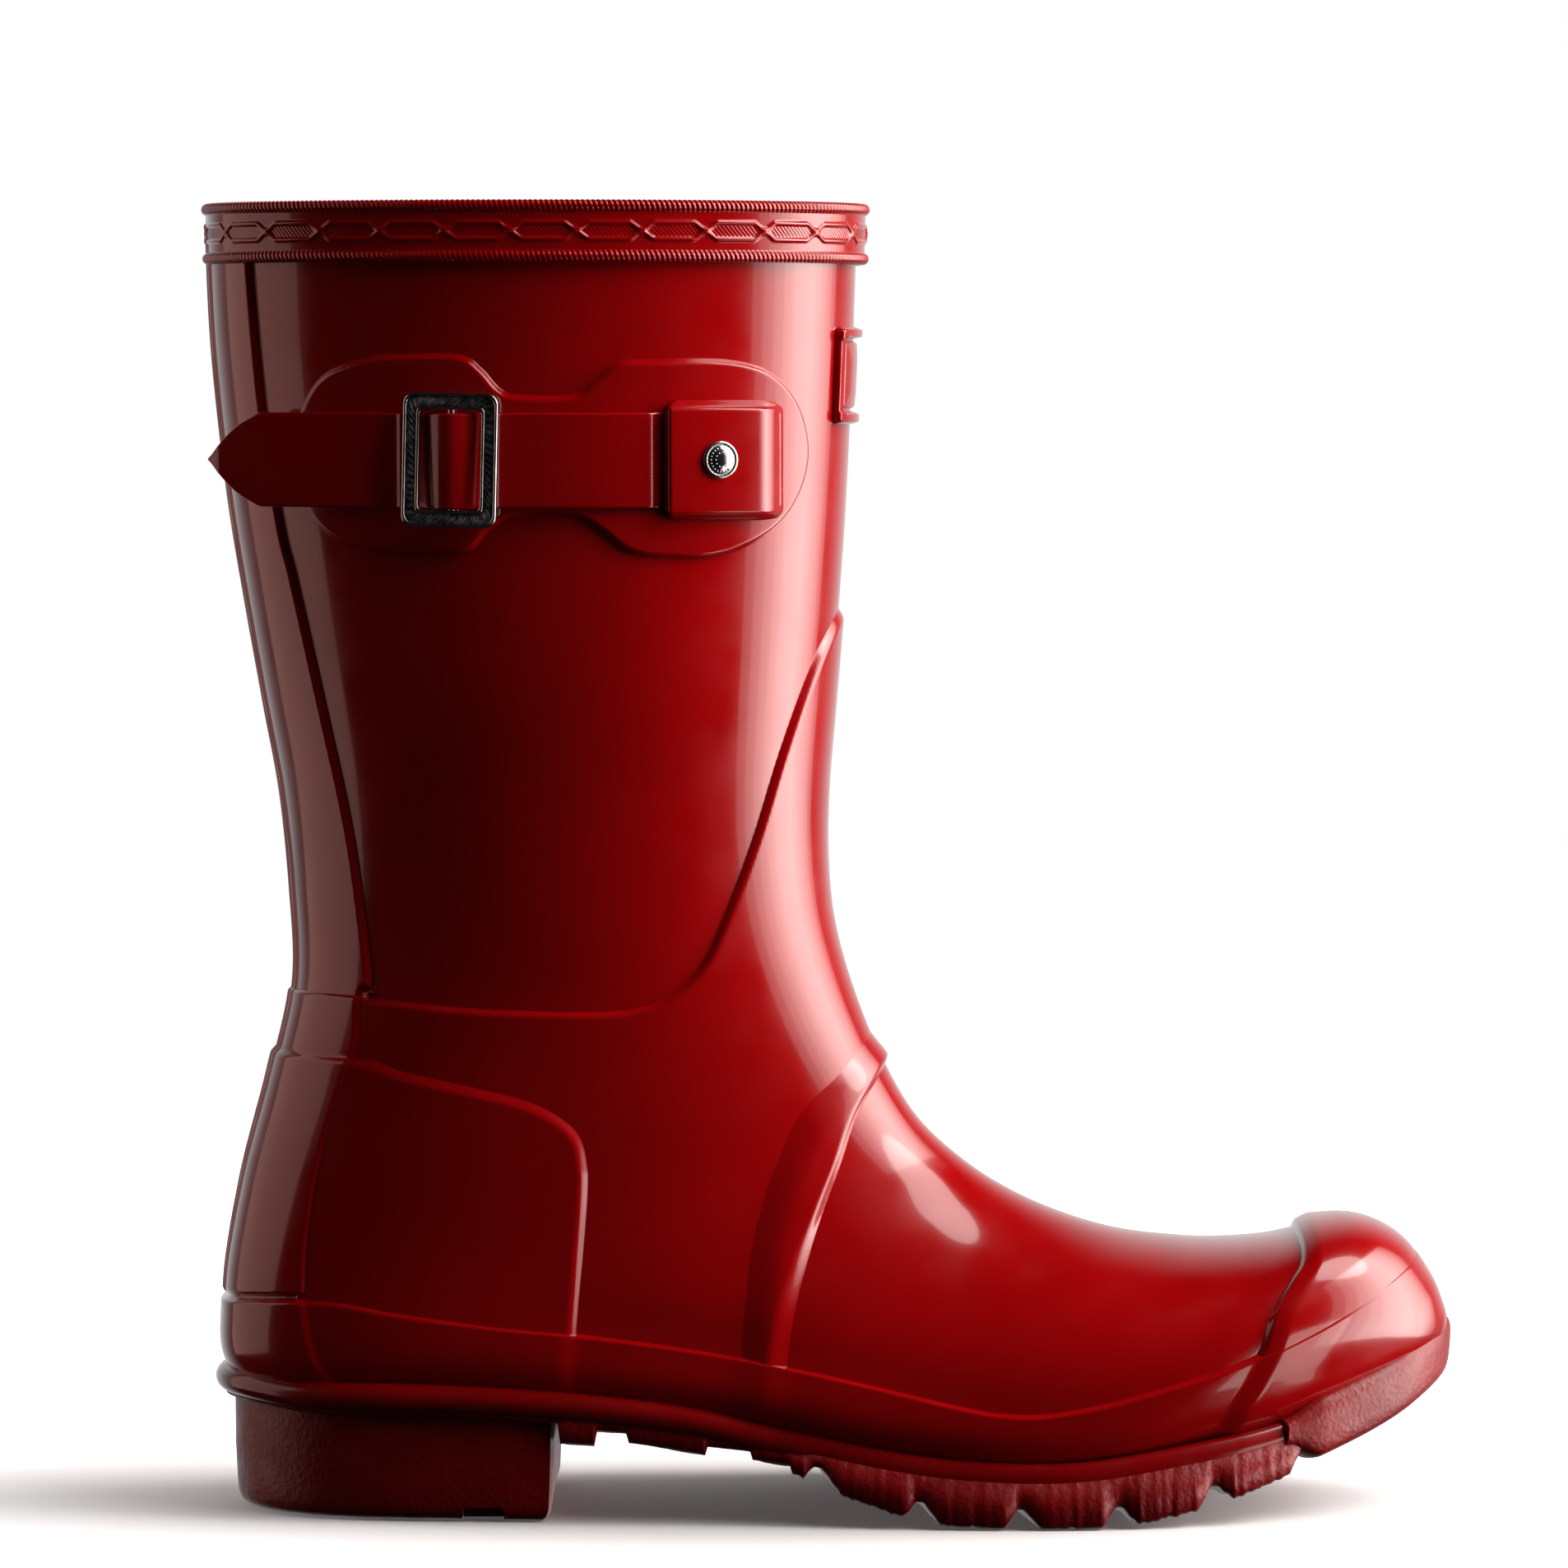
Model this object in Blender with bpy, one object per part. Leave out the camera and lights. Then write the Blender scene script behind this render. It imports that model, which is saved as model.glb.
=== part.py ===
"""A short rubber rain boot for the right foot, built up in layers the way a vulcanised boot is.

Everything is in metres with +Z up. The toe points along +X and the side strap is on -Y, the
outer side of a right foot. The boot's skin is one loft of closed sections: each section lies in
a plane that holds the Y direction and runs from a point on the back or sole line to a point on
the front or instep line. The planes are level in the leg and fan round the ankle to the toe.
Every rubber layer is an offset of that skin, trimmed by an outline drawn in the side view.
"""
import math

import bmesh
import bpy
from mathutils import Matrix, Vector

MM = 0.001

# Moves the drawing below so that the middle of the boot's footprint is the origin.
FRAME_SHIFT = Vector((0.0017, 0.0015, 0.0))

# Sections of the skin in mm: back point (x, z), front point (x, z), half width on the outer and
# on the inner side, how far along the section it is widest, roundness of its back and its front.
SECTIONS = (
    (-142.9, 297.5, 5.3, 297.5, 50.0, 50.0, 0.50, 2.1, 2.0),
    (-141.6, 267.5, 4.3, 267.5, 49.5, 49.5, 0.50, 2.1, 2.0),
    (-138.1, 234.5, 2.9, 234.5, 48.5, 48.5, 0.50, 2.1, 2.0),
    (-134.3, 210.5, 1.3, 210.5, 47.0, 47.0, 0.50, 2.1, 2.0),
    (-130.0, 186.0, -0.7, 186.0, 45.2, 45.2, 0.50, 2.1, 2.0),
    (-126.2, 165.0, -2.4, 165.5, 43.0, 43.0, 0.50, 2.1, 2.0),
    (-124.0, 143.0, -2.6, 149.5, 41.0, 41.0, 0.50, 2.1, 2.0),
    (-123.3, 121.0, -1.1, 134.5, 39.2, 39.2, 0.50, 2.2, 2.0),
    (-128.0, 99.0, 3.3, 118.5, 38.0, 38.0, 0.50, 2.3, 2.0),
    (-134.3, 74.0, 9.8, 102.5, 37.0, 37.0, 0.48, 2.5, 2.0),
    (-137.9, 48.0, 18.0, 88.5, 36.0, 36.0, 0.46, 2.8, 2.0),
    (-133.5, 31.5, 28.5, 78.5, 36.0, 36.0, 0.45, 3.2, 2.0),
    (-100.0, 30.0, 40.0, 71.0, 36.5, 36.0, 0.42, 5.0, 2.0),
    (-62.0, 28.3, 53.0, 65.3, 38.0, 36.5, 0.38, 6.0, 2.0),
    (-28.0, 24.3, 66.0, 61.6, 41.0, 39.5, 0.34, 6.0, 2.05),
    (2.0, 17.6, 79.0, 59.9, 44.5, 44.0, 0.32, 5.5, 2.1),
    (30.0, 13.6, 90.0, 59.5, 46.5, 47.0, 0.30, 5.0, 2.15),
    (56.0, 13.2, 101.0, 60.3, 44.5, 46.0, 0.30, 4.5, 2.2),
    (80.0, 16.7, 111.5, 62.3, 39.5, 42.5, 0.32, 4.0, 2.3),
    (100.0, 20.6, 121.0, 62.4, 32.0, 36.0, 0.35, 3.5, 2.35),
    (116.0, 26.0, 129.0, 58.5, 23.0, 28.0, 0.40, 3.0, 2.3),
    (128.0, 31.0, 135.0, 50.5, 13.5, 18.5, 0.45, 2.5, 2.2),
    (134.5, 35.5, 137.8, 43.5, 6.0, 10.0, 0.50, 2.2, 2.2),
)
LAST = len(SECTIONS) - 1
# Places along the loft where the solids have a row: the straight leg needs few.
ROWS = (0, 1, 2, 3, 4, 5, 6, 7, 8, 8.5, 9, 9.5, 10, 10.5, 11, 12, 13, 14, 15, 16, 17, 18, 19, 20, 21, 22)
AROUND = 24
FINE = 96
COARSE = 16

# Layers, as offsets from the skin in mm (inner face, outer face).
SHELL = (-1.3, 0.0)
LINING = (-2.5, -1.7)
LAYER_ONE = (0.4, 1.4)
LAYER_TWO = (1.8, 2.8)
CAVITY = -2.9
GAP = 0.35
BUMPER = (0.4, 5.0)
PAD = (1.75, 5.2)

# Longer than the boot is from the origin, for cutting outlines that run past it.
BEYOND = 175.0
DEPTHS = (-20.0, 70.0)
OUTER_SIDE = ("Y", -80.0, 0.0)
LEG_TOP = 297.5
STAY_SPLIT = 118.6
BINDING_LOW = 286.0

# Top of the sole, from the heel to the toe: x, z in mm.
SOLE_TOP = ((-150, 31.5), (-134, 31.2), (-120, 30.0), (-100, 30.0), (-80, 29.4), (-58, 28.0), (-33, 25.2),
            (-15, 21.0), (0, 18.0), (13, 15.6), (31, 13.5), (55, 13.2), (80, 16.7), (100, 20.6),
            (116, 26.0), (128, 31.0), (136, 35.5), (146, 42.0))
# Where the side layers end above the sole; it climbs over the toe bumper.
FEATHER = ((-152, 34.5), (-138, 33.5), (-121, 30.8), (-105, 30.6), (-58, 28.8), (-33, 26.4), (-15, 22.4),
           (13, 16.9), (31, 14.6), (55, 14.5), (80, 18.0), (104, 23.0), (112, 25.8), (125, 32.2),
           (134.5, 37.0), (139, 40.5), (152, 51.0))

# Foxing strip: its upper edge, low on the whole foot.
FOXING_TOP = ((-154, 46.5), (-119, 50.5), (-98, 48.0), (-79, 45.4), (-56, 43.0), (-31, 39.6), (-11, 36.1),
              (8, 32.2), (27, 28.1), (37, 26.4), (47, 26.4), (60, 28.6), (71, 31.4), (86, 35.7),
              (98, 40.3), (111, 46.0), (122, 51.5), (130, 55.8), (146, 64.0))
FOOT_TOP = ((-160, 121.5), (-122, 121.0), (-105.6, 119.3), (-78.8, 117.3), (-52, 116.8), (-43, 118.0),
            (-37, 121.0), (-31.5, 126.0), (-27.2, 134.1), (-19.4, 154.7), (-13.1, 174.8), (-6.0, 194.0),
            (1.5, 208.6), (10.0, 224.0))
COUNTER_EDGE = ((-150, 109.5), (-109, 106.6), (-97, 103.6), (-79, 99.8), (-69, 97.2), (-61.5, 93.3),
                (-57, 88.7), (-55.3, 82.3), (-55.2, 73.2), (-57.4, 44.6), (-58.6, 20.0))
STAY_EDGE = ((-132, 297), (-131.5, 284), (-128.6, 252), (-124.5, 226), (-121.8, 215), (-115.6, 187),
             (-109.7, 159.6), (-106.9, 141), (-105.0, 122.5), (-106.8, 119.5), (-107.8, 106.6),
             (-114.2, 85.5), (-117.9, 67.0), (-119.2, 50.5), (-119, 30))
BAND_REAR = ((18, 127), (5.9, 111.7), (-2.2, 102.0), (-9.7, 95.6), (-14.6, 86.1), (-18.6, 72.8),
             (-22.4, 59.2), (-25.2, 45.6), (-25.6, 20.0))
BAND_FRONT = ((40, 106.0), (14.5, 97.0), (9.5, 94.0), (5.3, 88.7), (3.0, 78.6), (-1.0, 69.2), (-5.1, 55.8),
              (-8.4, 43.6), (-10.5, 20.0))
CAP_EDGE = ((95, 74), (100.5, 66.3), (105.0, 62.8), (106.5, 60.5), (105.9, 57.0), (103.0, 53.6),
            (98.3, 47.5), (95.9, 41.4), (92.1, 34.4), (86.7, 26.0), (78.9, 12.0))

# The foot seen from above, as x, y, from the back of the heel along the outer side.
PLAN = ((-138, 0), (-134, -16), (-122, -28), (-105, -34), (-80, -36), (-45, -37.5), (-15, -40), (15, -44.5),
        (42, -46.5), (65, -45), (90, -39), (110, -29), (126, -17), (135, -6), (138, 3), (136, 12),
        (128, 22), (114, 32), (92, 41.5), (65, 46), (40, 47), (12, 44), (-15, 40.5), (-45, 37),
        (-80, 35.5), (-105, 33.5), (-122, 27.5), (-134, 16))
# Underside of the tread, before its notches, and of the arch between heel and forefoot.
TREAD_LOW = ((-9, 11.5), (4, 6.0), (20, 1.2), (34, 0), (60, 0), (75, 1.8), (91, 6.0), (102, 10.0),
             (114, 16.0), (126, 22.0), (134, 27.0), (150, 38.0))
ARCH_LOW = ((-63, 17.6), (-54.7, 17.2), (-54.7, 20.5), (-47.3, 20.0), (-47.3, 17.9), (-29.5, 15.0),
            (-29.5, 17.0), (-19.0, 16.0), (-19.0, 14.2), (-10, 13.2))
LUG_PITCH = 22.4
LUG_LENGTH = 15.6
LUG_DEPTH = 4.0
LUG_START = -3.0
LUG_COUNT = 6
PLATE = 5.5
STEM = 0.3
SHANK_PLACE = (-75.0, 5.0, 8.0)
STEP_SIDE = 0.1
WELT = 4.5
HEEL_BREAST = -65.4
BUMPER_START = 104.0
NOTCH = (-84.8, -75.4, 3.0)

# Insole: name, offset from the skin, underside and top above the sole's top, colour and roughness.
INSOLE_STACK = (("insole_board", CAVITY - 0.8, 3.2, 4.5, ((0.35, 0.25, 0.15), 0.8)),
                ("insole_foam", CAVITY - 1.4, 4.9, 7.9, ((0.12, 0.12, 0.12), 0.9)),
                ("insole_cover", CAVITY - 1.6, 8.3, 9.1, ((0.45, 0.05, 0.05), 0.95)))

# Strap patch on the outer side: two lobes and a neck, in x, z.
PATCH = ((-122.5, 241), (-121.8, 251.5), (-116.2, 260.7), (-105.7, 265), (-96, 265.8), (-84, 265.6),
         (-79, 262.4), (-75, 258), (-71, 256.7), (-59.5, 256.7), (-55, 259.5), (-49, 264), (-42, 264.6),
         (-25, 264.6), (-15, 262), (-8.3, 254.8), (-5.6, 243.5), (-8.2, 232.5), (-14.9, 224.3), (-26, 219.2),
         (-38.5, 218.8), (-47, 220.2), (-53.5, 225.2), (-59.5, 228.3), (-71, 228.5), (-77, 225.5),
         (-82, 220.4), (-90, 219.6), (-101, 219.8), (-112.5, 222.5), (-120, 230))

# Side strap: heights and the middle of each part, in mm.
STRAP_Z = 241.5
STRAP_HALF = 10.7
STRAP_THICK = 1.6
STRAP_SEAT = 1.9
BUCKLE_X = -85.6
BUCKLE_HALF = (10.8, 15.1)
KEEPER_HALF = (4.2, 7.0)
WINDOW_HALF = (7.0, 11.2)
FRAME_OUT = (4.4, 6.3)
BAR_OUT = 3.35
BAR_RADIUS = 0.8
RIVET_X = -28.2
RIVET_RADIUS = 4.3
POST_RADIUS = 1.5
TAIL_TIP = (-142.0, -26.0)
TAIL_BEND = 24.0
STRAP_END = -97.0
TAIL_START = -97.6

# Badge on the front: half width, low edge and high edge.
BADGE = (17.0, 249.3, 271.7)


def mix(row_a, row_b, row_c, row_d, f):
    """Catmull-Rom blend between row_b and row_c."""
    out = []
    for a, b, c, d in zip(row_a, row_b, row_c, row_d):
        linear = (c - a) * f
        square = (2 * a - 5 * b + 4 * c - d) * f * f
        cube = (3 * b - 3 * c + d - a) * f * f * f
        out.append(0.5 * (2 * b + linear + square + cube))
    return out


def section(t):
    """The interpolated section row at place t, counted in sections from the rim."""
    i = min(int(t), LAST - 1)
    rows = [SECTIONS[min(max(k, 0), LAST)] for k in (i - 1, i, i + 1, i + 2)]
    return mix(*rows, t - i)


def skin(angle, t):
    """Point of the skin: angle 0 is the front line, pi the back or sole line, pi/2 the inner side."""
    back_x, back_z, front_x, front_z, outer, inner, widest, back_power, front_power = section(t)
    ahead = math.cos(angle)
    aside = math.sin(angle)
    power = 2.0 / (front_power if ahead > 0 else back_power)
    reach = (1 - widest) if ahead > 0 else -widest
    along = widest + reach * abs(ahead) ** power
    width = (inner if aside > 0 else -outer) * abs(aside) ** power
    x = back_x + (front_x - back_x) * along
    z = back_z + (front_z - back_z) * along
    return Vector((x, width, z))


def skin_offset(angle, t, offset):
    """Point of the skin moved out along its normal by offset."""
    step_a = 0.06
    step_t = 0.04
    t_low = max(t - step_t, 0)
    t_high = min(t + step_t, LAST)
    turn = skin(angle + step_a, t) - skin(angle - step_a, t)
    run = skin(angle, t_high) - skin(angle, t_low)
    normal = turn.cross(run).normalized()
    if normal.dot(outward(angle, t)) < 0:
        normal.negate()
    return skin(angle, t) + normal * offset


def outward(angle, t):
    """A rough outward direction, from the middle of the section."""
    row = section(t)
    middle = Vector(((row[0] + row[2]) / 2, 0, (row[1] + row[3]) / 2))
    return skin(angle, t) - middle


def side_section(x, z):
    """Place t and share along the section line whose plane passes through (x, z)."""
    low = 0.0
    high = float(LAST)
    for _ in range(40):
        t = (low + high) / 2
        row = section(t)
        side = (row[2] - row[0]) * (z - row[1]) - (row[3] - row[1]) * (x - row[0])
        if side < 0:
            low = t
        else:
            high = t
    length = (row[2] - row[0]) ** 2 + (row[3] - row[1]) ** 2
    along = ((x - row[0]) * (row[2] - row[0]) + (z - row[1]) * (row[3] - row[1])) / length
    return t, along


def side_point(x, z, offset):
    """Point of the outer side of the boot seen at (x, z) in the side view, moved out by offset."""
    t, along = side_section(x, z)
    row = section(t)
    widest = row[6]
    ahead = along > widest
    power = row[8] if ahead else row[7]
    share = (along - widest) / ((1 - widest) if ahead else -widest)
    cosine = min(max(share, 0.0), 1.0) ** (power / 2)
    angle = math.acos(cosine if ahead else -cosine)
    return skin_offset(-angle, t, offset)


def height_on(curve, x):
    """Height of an x, z curve at x."""
    for (x0, z0), (x1, z1) in zip(curve, curve[1:]):
        if x0 <= x <= x1:
            return z0 + (z1 - z0) * (x - x0) / (x1 - x0)
    return curve[0][1] if x < curve[0][0] else curve[-1][1]


def make(name, bm, colour, roughness, metallic=0.0, smooth_angle=35):
    """Turn a bmesh drawn in mm into a named object with its own material."""
    bmesh.ops.remove_doubles(bm, verts=bm.verts, dist=0.002)
    bmesh.ops.dissolve_degenerate(bm, edges=bm.edges, dist=0.002)
    face_outward(bm)
    mesh = bpy.data.meshes.new(name)
    bm.to_mesh(mesh)
    bm.free()
    mesh.transform(Matrix.Translation(FRAME_SHIFT) @ Matrix.Scale(MM, 4))
    mesh.shade_smooth()
    mesh.set_sharp_from_angle(angle=math.radians(smooth_angle))
    obj = bpy.data.objects.new(name, mesh)
    bpy.context.collection.objects.link(obj)
    material = bpy.data.materials.new(name)
    material.use_nodes = True
    shader = material.node_tree.nodes["Principled BSDF"]
    shader.inputs["Base Color"].default_value = (*colour, 1.0)
    shader.inputs["Roughness"].default_value = roughness
    shader.inputs["Metallic"].default_value = metallic
    mesh.materials.append(material)
    return obj


def tube(inner, outer, start=0.0, end=float(LAST), around=AROUND):
    """Closed layer between two offsets of the skin, a ring or, if it reaches the toe, a sock."""
    bm = bmesh.new()
    rows = sorted({start, end} | {t for t in ROWS if start < t < end})
    skins = []
    for offset in (outer, inner):
        grid = []
        for t in rows:
            ring = [bm.verts.new(skin_offset(math.tau * k / around, t, offset)) for k in range(around)]
            grid.append(ring)
        for ring, below in zip(grid, grid[1:]):
            for k in range(around):
                n = (k + 1) % around
                bm.faces.new((ring[k], ring[n], below[n], below[k]))
        skins.append(grid)
    ends = [(skins[0][0], skins[1][0])]
    if end < LAST:
        ends.append((skins[0][-1], skins[1][-1]))
    else:
        bm.faces.new(skins[0][-1])
        bm.faces.new(skins[1][-1])
    for ring, twin in ends:
        for k in range(around):
            n = (k + 1) % around
            bm.faces.new((ring[k], ring[n], twin[n], twin[k]))
    return bm


def filled(offset, start, end, around=COARSE):
    """Solid of everything inside an offset of the skin between two places along it."""
    bm = bmesh.new()
    rows = sorted({start, end} | {t for t in ROWS if start < t < end})
    grid = []
    for t in rows:
        grid.append([bm.verts.new(skin_offset(math.tau * k / around, t, offset)) for k in range(around)])
    for ring, below in zip(grid, grid[1:]):
        for k in range(around):
            n = (k + 1) % around
            bm.faces.new((ring[k], ring[n], below[n], below[k]))
    bm.faces.new(grid[0])
    bm.faces.new(grid[-1])
    return bm


def prism(outline, axis, low, high):
    """Extrusion of a closed outline along Y (outline in x, z), X (in y, z) or Z (in x, y)."""
    places = {"Y": lambda a, b, d: (a, d, b), "X": lambda a, b, d: (d, a, b), "Z": lambda a, b, d: (a, b, d)}
    place = places[axis]
    bm = bmesh.new()
    near = [bm.verts.new(place(a, b, low)) for a, b in outline]
    far = [bm.verts.new(place(a, b, high)) for a, b in outline]
    count = len(outline)
    for k in range(count):
        n = (k + 1) % count
        bm.faces.new((near[k], near[n], far[n], far[k]))
    bm.faces.new(near)
    bm.faces.new(far)
    return bm


def face_outward(bm):
    """Make all faces agree and point away from the solid's inside."""
    bmesh.ops.recalc_face_normals(bm, faces=bm.faces)
    if bm.calc_volume(signed=True) < 0:
        bmesh.ops.reverse_faces(bm, faces=bm.faces)


def temporary(bm):
    """A throw-away object for a boolean."""
    bmesh.ops.triangulate(bm, faces=bm.faces)
    face_outward(bm)
    mesh = bpy.data.meshes.new("work")
    bm.to_mesh(mesh)
    bm.free()
    obj = bpy.data.objects.new("work", mesh)
    bpy.context.collection.objects.link(obj)
    return obj


def combine(bm, other, operation):
    """Boolean of two bmeshes with the exact solver; returns the largest body of the result."""
    base = temporary(bm)
    tool = temporary(other)
    modifier = base.modifiers.new("cut", "BOOLEAN")
    modifier.object = tool
    modifier.operation = operation
    modifier.solver = "EXACT"
    bpy.context.view_layer.update()
    graph = bpy.context.evaluated_depsgraph_get()
    result = bmesh.new()
    result.from_mesh(base.evaluated_get(graph).to_mesh())
    for obj in (base, tool):
        mesh = obj.data
        bpy.data.objects.remove(obj)
        bpy.data.meshes.remove(mesh)
    bmesh.ops.remove_doubles(result, verts=result.verts, dist=0.004)
    bmesh.ops.dissolve_degenerate(result, edges=result.edges, dist=0.004)
    return keep_largest(result)


def keep_largest(bm):
    """Drop every island but the one with the most faces."""
    left = set(bm.faces)
    islands = []
    while left:
        stack = [left.pop()]
        island = set(stack)
        while stack:
            for edge in stack.pop().edges:
                for face in edge.link_faces:
                    if face not in island:
                        island.add(face)
                        stack.append(face)
        left -= island
        islands.append(island)
    largest = max(islands, key=len)
    bmesh.ops.delete(bm, geom=[face for face in bm.faces if face not in largest], context="FACES")
    return bm


def trimmed(layer, outline, start=0.0, low=-BEYOND, high=BEYOND):
    """Piece of a layer inside a side view outline, from place start of the loft to the toe."""
    return combine(tube(*layer, start=start), prism(outline, "Y", low, high), "INTERSECT")


def between(lower, upper):
    """Closed outline between two open curves that both run from left to right."""
    return list(lower) + list(upper)[::-1]


def lowered(curve, drop):
    """The curve moved down."""
    return [(x, z - drop) for x, z in curve]


RUBBER = ((0.33, 0.005, 0.008), 0.16)
MATTE_RUBBER = ((0.25, 0.006, 0.010), 0.55)
STEEL = ((0.55, 0.55, 0.56), 0.22, 1.0)


def make_upper():
    make("upper_shell", tube(*SHELL), *RUBBER)
    make("textile_lining", tube(*LINING), (0.10, 0.09, 0.09), 0.9)


def clipped(piece, outline):
    """The part of a piece inside a side view outline."""
    return combine(piece, prism(outline, "Y", -BEYOND, BEYOND), "INTERSECT")


def above(curve, ceiling=BEYOND + LEG_TOP):
    """Side view area over a curve and clear of it by the gap between layers, up to a ceiling."""
    return lowered(curve, -GAP) + [(BEYOND, ceiling), (-BEYOND, ceiling)]


def make_foot_layers():
    leg_front = [(BEYOND, FOOT_TOP[-1][1]), (BEYOND, 60)]
    overlay = trimmed(LAYER_ONE, between(FEATHER, list(FOOT_TOP) + leg_front), 1.0)
    make("foot_overlay", overlay, *RUBBER)
    make("foxing_strip", trimmed(LAYER_TWO, between(FEATHER, FOXING_TOP), 7.0), *RUBBER)

    counter_area = list(COUNTER_EDGE) + [(-BEYOND, COUNTER_EDGE[-1][1]), (-BEYOND, COUNTER_EDGE[0][1])]
    ahead_of_stay = [(x + GAP, z) for x, z in STAY_EDGE]
    ahead_of_stay += [(BEYOND, STAY_EDGE[-1][1]), (BEYOND, STAY_EDGE[0][1])]
    for side, low, high in (("lateral", -BEYOND, 0.0), ("medial", 0.0, BEYOND)):
        piece = trimmed(LAYER_TWO, counter_area, 6.0, low, high)
        piece = clipped(clipped(piece, ahead_of_stay), above(FOXING_TOP))
        make("heel_counter_" + side, piece, *RUBBER)

    behind_stay = list(STAY_EDGE) + [(-BEYOND, STAY_EDGE[-1][1]), (-BEYOND, STAY_EDGE[0][1])]
    lower = clipped(trimmed(LAYER_TWO, behind_stay, 6.0), above(FOXING_TOP, STAY_SPLIT))
    make("back_stay_lower", lower, *RUBBER)
    upper = clipped(trimmed(LAYER_ONE, behind_stay), above(FOOT_TOP, BINDING_LOW - 0.6))
    make("back_stay_upper", upper, *RUBBER)

    band = clipped(trimmed(LAYER_TWO, BAND_REAR + BAND_FRONT[::-1], 6.0), above(FOXING_TOP))
    make("instep_band", band, *RUBBER)
    cap = clipped(trimmed(LAYER_TWO, CAP_EDGE + ((BEYOND, 12), (BEYOND, 90)), 12.0), above(FOXING_TOP))
    make("toe_cap", cap, *RUBBER)


def make_binding():
    """Rolled band round the rim: an outer band with a lip over the raw edge of shell and lining."""
    profile = ((0.4, BINDING_LOW), (0.4, 298.0), (-2.5, 298.0), (-2.5, 299.8), (1.6, 300.0), (2.6, 299.0),
               (2.6, BINDING_LOW))
    leg_middle = (SECTIONS[0][0] + SECTIONS[0][2]) / 2
    bm = bmesh.new()
    rings = []
    for offset, z in profile:
        t = side_section(leg_middle, min(z, LEG_TOP - 0.1))[0]
        ring = []
        for k in range(AROUND):
            point = skin_offset(math.tau * k / AROUND, t, offset)
            ring.append(bm.verts.new((point.x, point.y, z)))
        rings.append(ring)
    count = len(rings)
    for i in range(count):
        ring = rings[i]
        twin = rings[(i + 1) % count]
        for k in range(AROUND):
            n = (k + 1) % AROUND
            bm.faces.new((ring[k], ring[n], twin[n], twin[k]))
    make("top_binding", bm, *RUBBER)


def plan_outline(margin, per_span=1):
    """The foot's outline from above, smoothed and grown by a margin."""
    count = len(PLAN)
    loop = []
    for i in range(count):
        rows = [PLAN[(i + k) % count] for k in (-1, 0, 1, 2)]
        loop += [mix(*rows, j / per_span) for j in range(per_span)]
    size = len(loop)
    grown = []
    for k in range(size):
        before = Vector(loop[k - 1])
        after = Vector(loop[(k + 1) % size])
        run = (after - before).normalized()
        grown.append((loop[k][0] + run.y * margin, loop[k][1] - run.x * margin))
    return grown


def tread_height(x):
    """Underside of the sole at x: the arch, then lugs with a notch between each pair."""
    if x < ARCH_LOW[0][0]:
        return height_on(SOLE_TOP, x) - PLATE - STEM
    if x < ARCH_LOW[-1][0]:
        return height_on(ARCH_LOW, x)
    place = (x - LUG_START) % LUG_PITCH
    notched = place > LUG_LENGTH and x < LUG_START + LUG_COUNT * LUG_PITCH
    under_plate = height_on(SOLE_TOP, x) - PLATE - STEM
    return min(height_on(TREAD_LOW, x) + (LUG_DEPTH if notched else 0.0), under_plate)


def sole_stations():
    """Places along the sole where its cross-section changes; a step has one on each side of it."""
    round_heel = [-142.0, -140.8, -138.5, -134, -127, -119, -108, -95, -80, -63.3]
    round_toe = [134.8, 138, 140.5]
    steps = [x for x, _ in ARCH_LOW[:-1:2]] + list(SHANK_PLACE[:2])
    places = round_heel + round_toe + [-38, -10, LUG_START - STEP_SIDE]
    places += [x + side for x in steps for side in (-STEP_SIDE, STEP_SIDE)]
    for i in range(LUG_COUNT):
        start = LUG_START + i * LUG_PITCH
        end = start + LUG_LENGTH
        places += [start + STEP_SIDE, (start + end) / 2, end, end + 1.2, start + LUG_PITCH - 0.9]
    return sorted(places)


def sole_section(x):
    """T-shaped cross-section of the sole at x, with the shank's bed above and a groove below."""
    outline = plan_outline(WELT, 2)
    turn = max(range(len(outline)), key=lambda k: outline[k][0])
    outer = height_on(outline[:turn + 1], x)
    inner = height_on([outline[0]] + outline[:turn - 1:-1], x)
    wide = inner - outer > 30
    middle = (outer + inner) / 2

    top = height_on(SOLE_TOP, x) - 0.4
    plate = height_on(SOLE_TOP, x) - PLATE
    low = tread_height(x)
    roof = low + 2.5 if low < plate - 3 else low + STEM / 2
    groove = 3.5 if wide else 1.0
    start, end, half = SHANK_PLACE
    bed = top - (2.2 if start < x < end else STEM)
    left, right = (-half, half) if wide else (middle - 1.5, middle + 1.5)
    above_plate = [(right, top), (right, bed), (left, bed), (left, top), (outer, top), (outer, plate)]
    tread = [(outer + 3, plate), (outer + 3, low), (middle - groove, low), (middle - groove, roof),
             (middle + groove, roof), (middle + groove, low), (inner - 3, low), (inner - 3, plate)]
    return above_plate + tread + [(inner, plate), (inner, top)]


def lofted(rings, closed=False):
    """Solid through rings of points, capped at both ends unless it closes on itself."""
    bm = bmesh.new()
    loops = [[bm.verts.new(point) for point in ring] for ring in rings]
    pairs = list(zip(loops, loops[1:]))
    if closed:
        pairs.append((loops[-1], loops[0]))
    else:
        bm.faces.new(loops[0])
        bm.faces.new(loops[-1])
    count = len(loops[0])
    for ring, after in pairs:
        for k in range(count):
            n = (k + 1) % count
            bm.faces.new((ring[k], ring[n], after[n], after[k]))
    return bm


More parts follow.
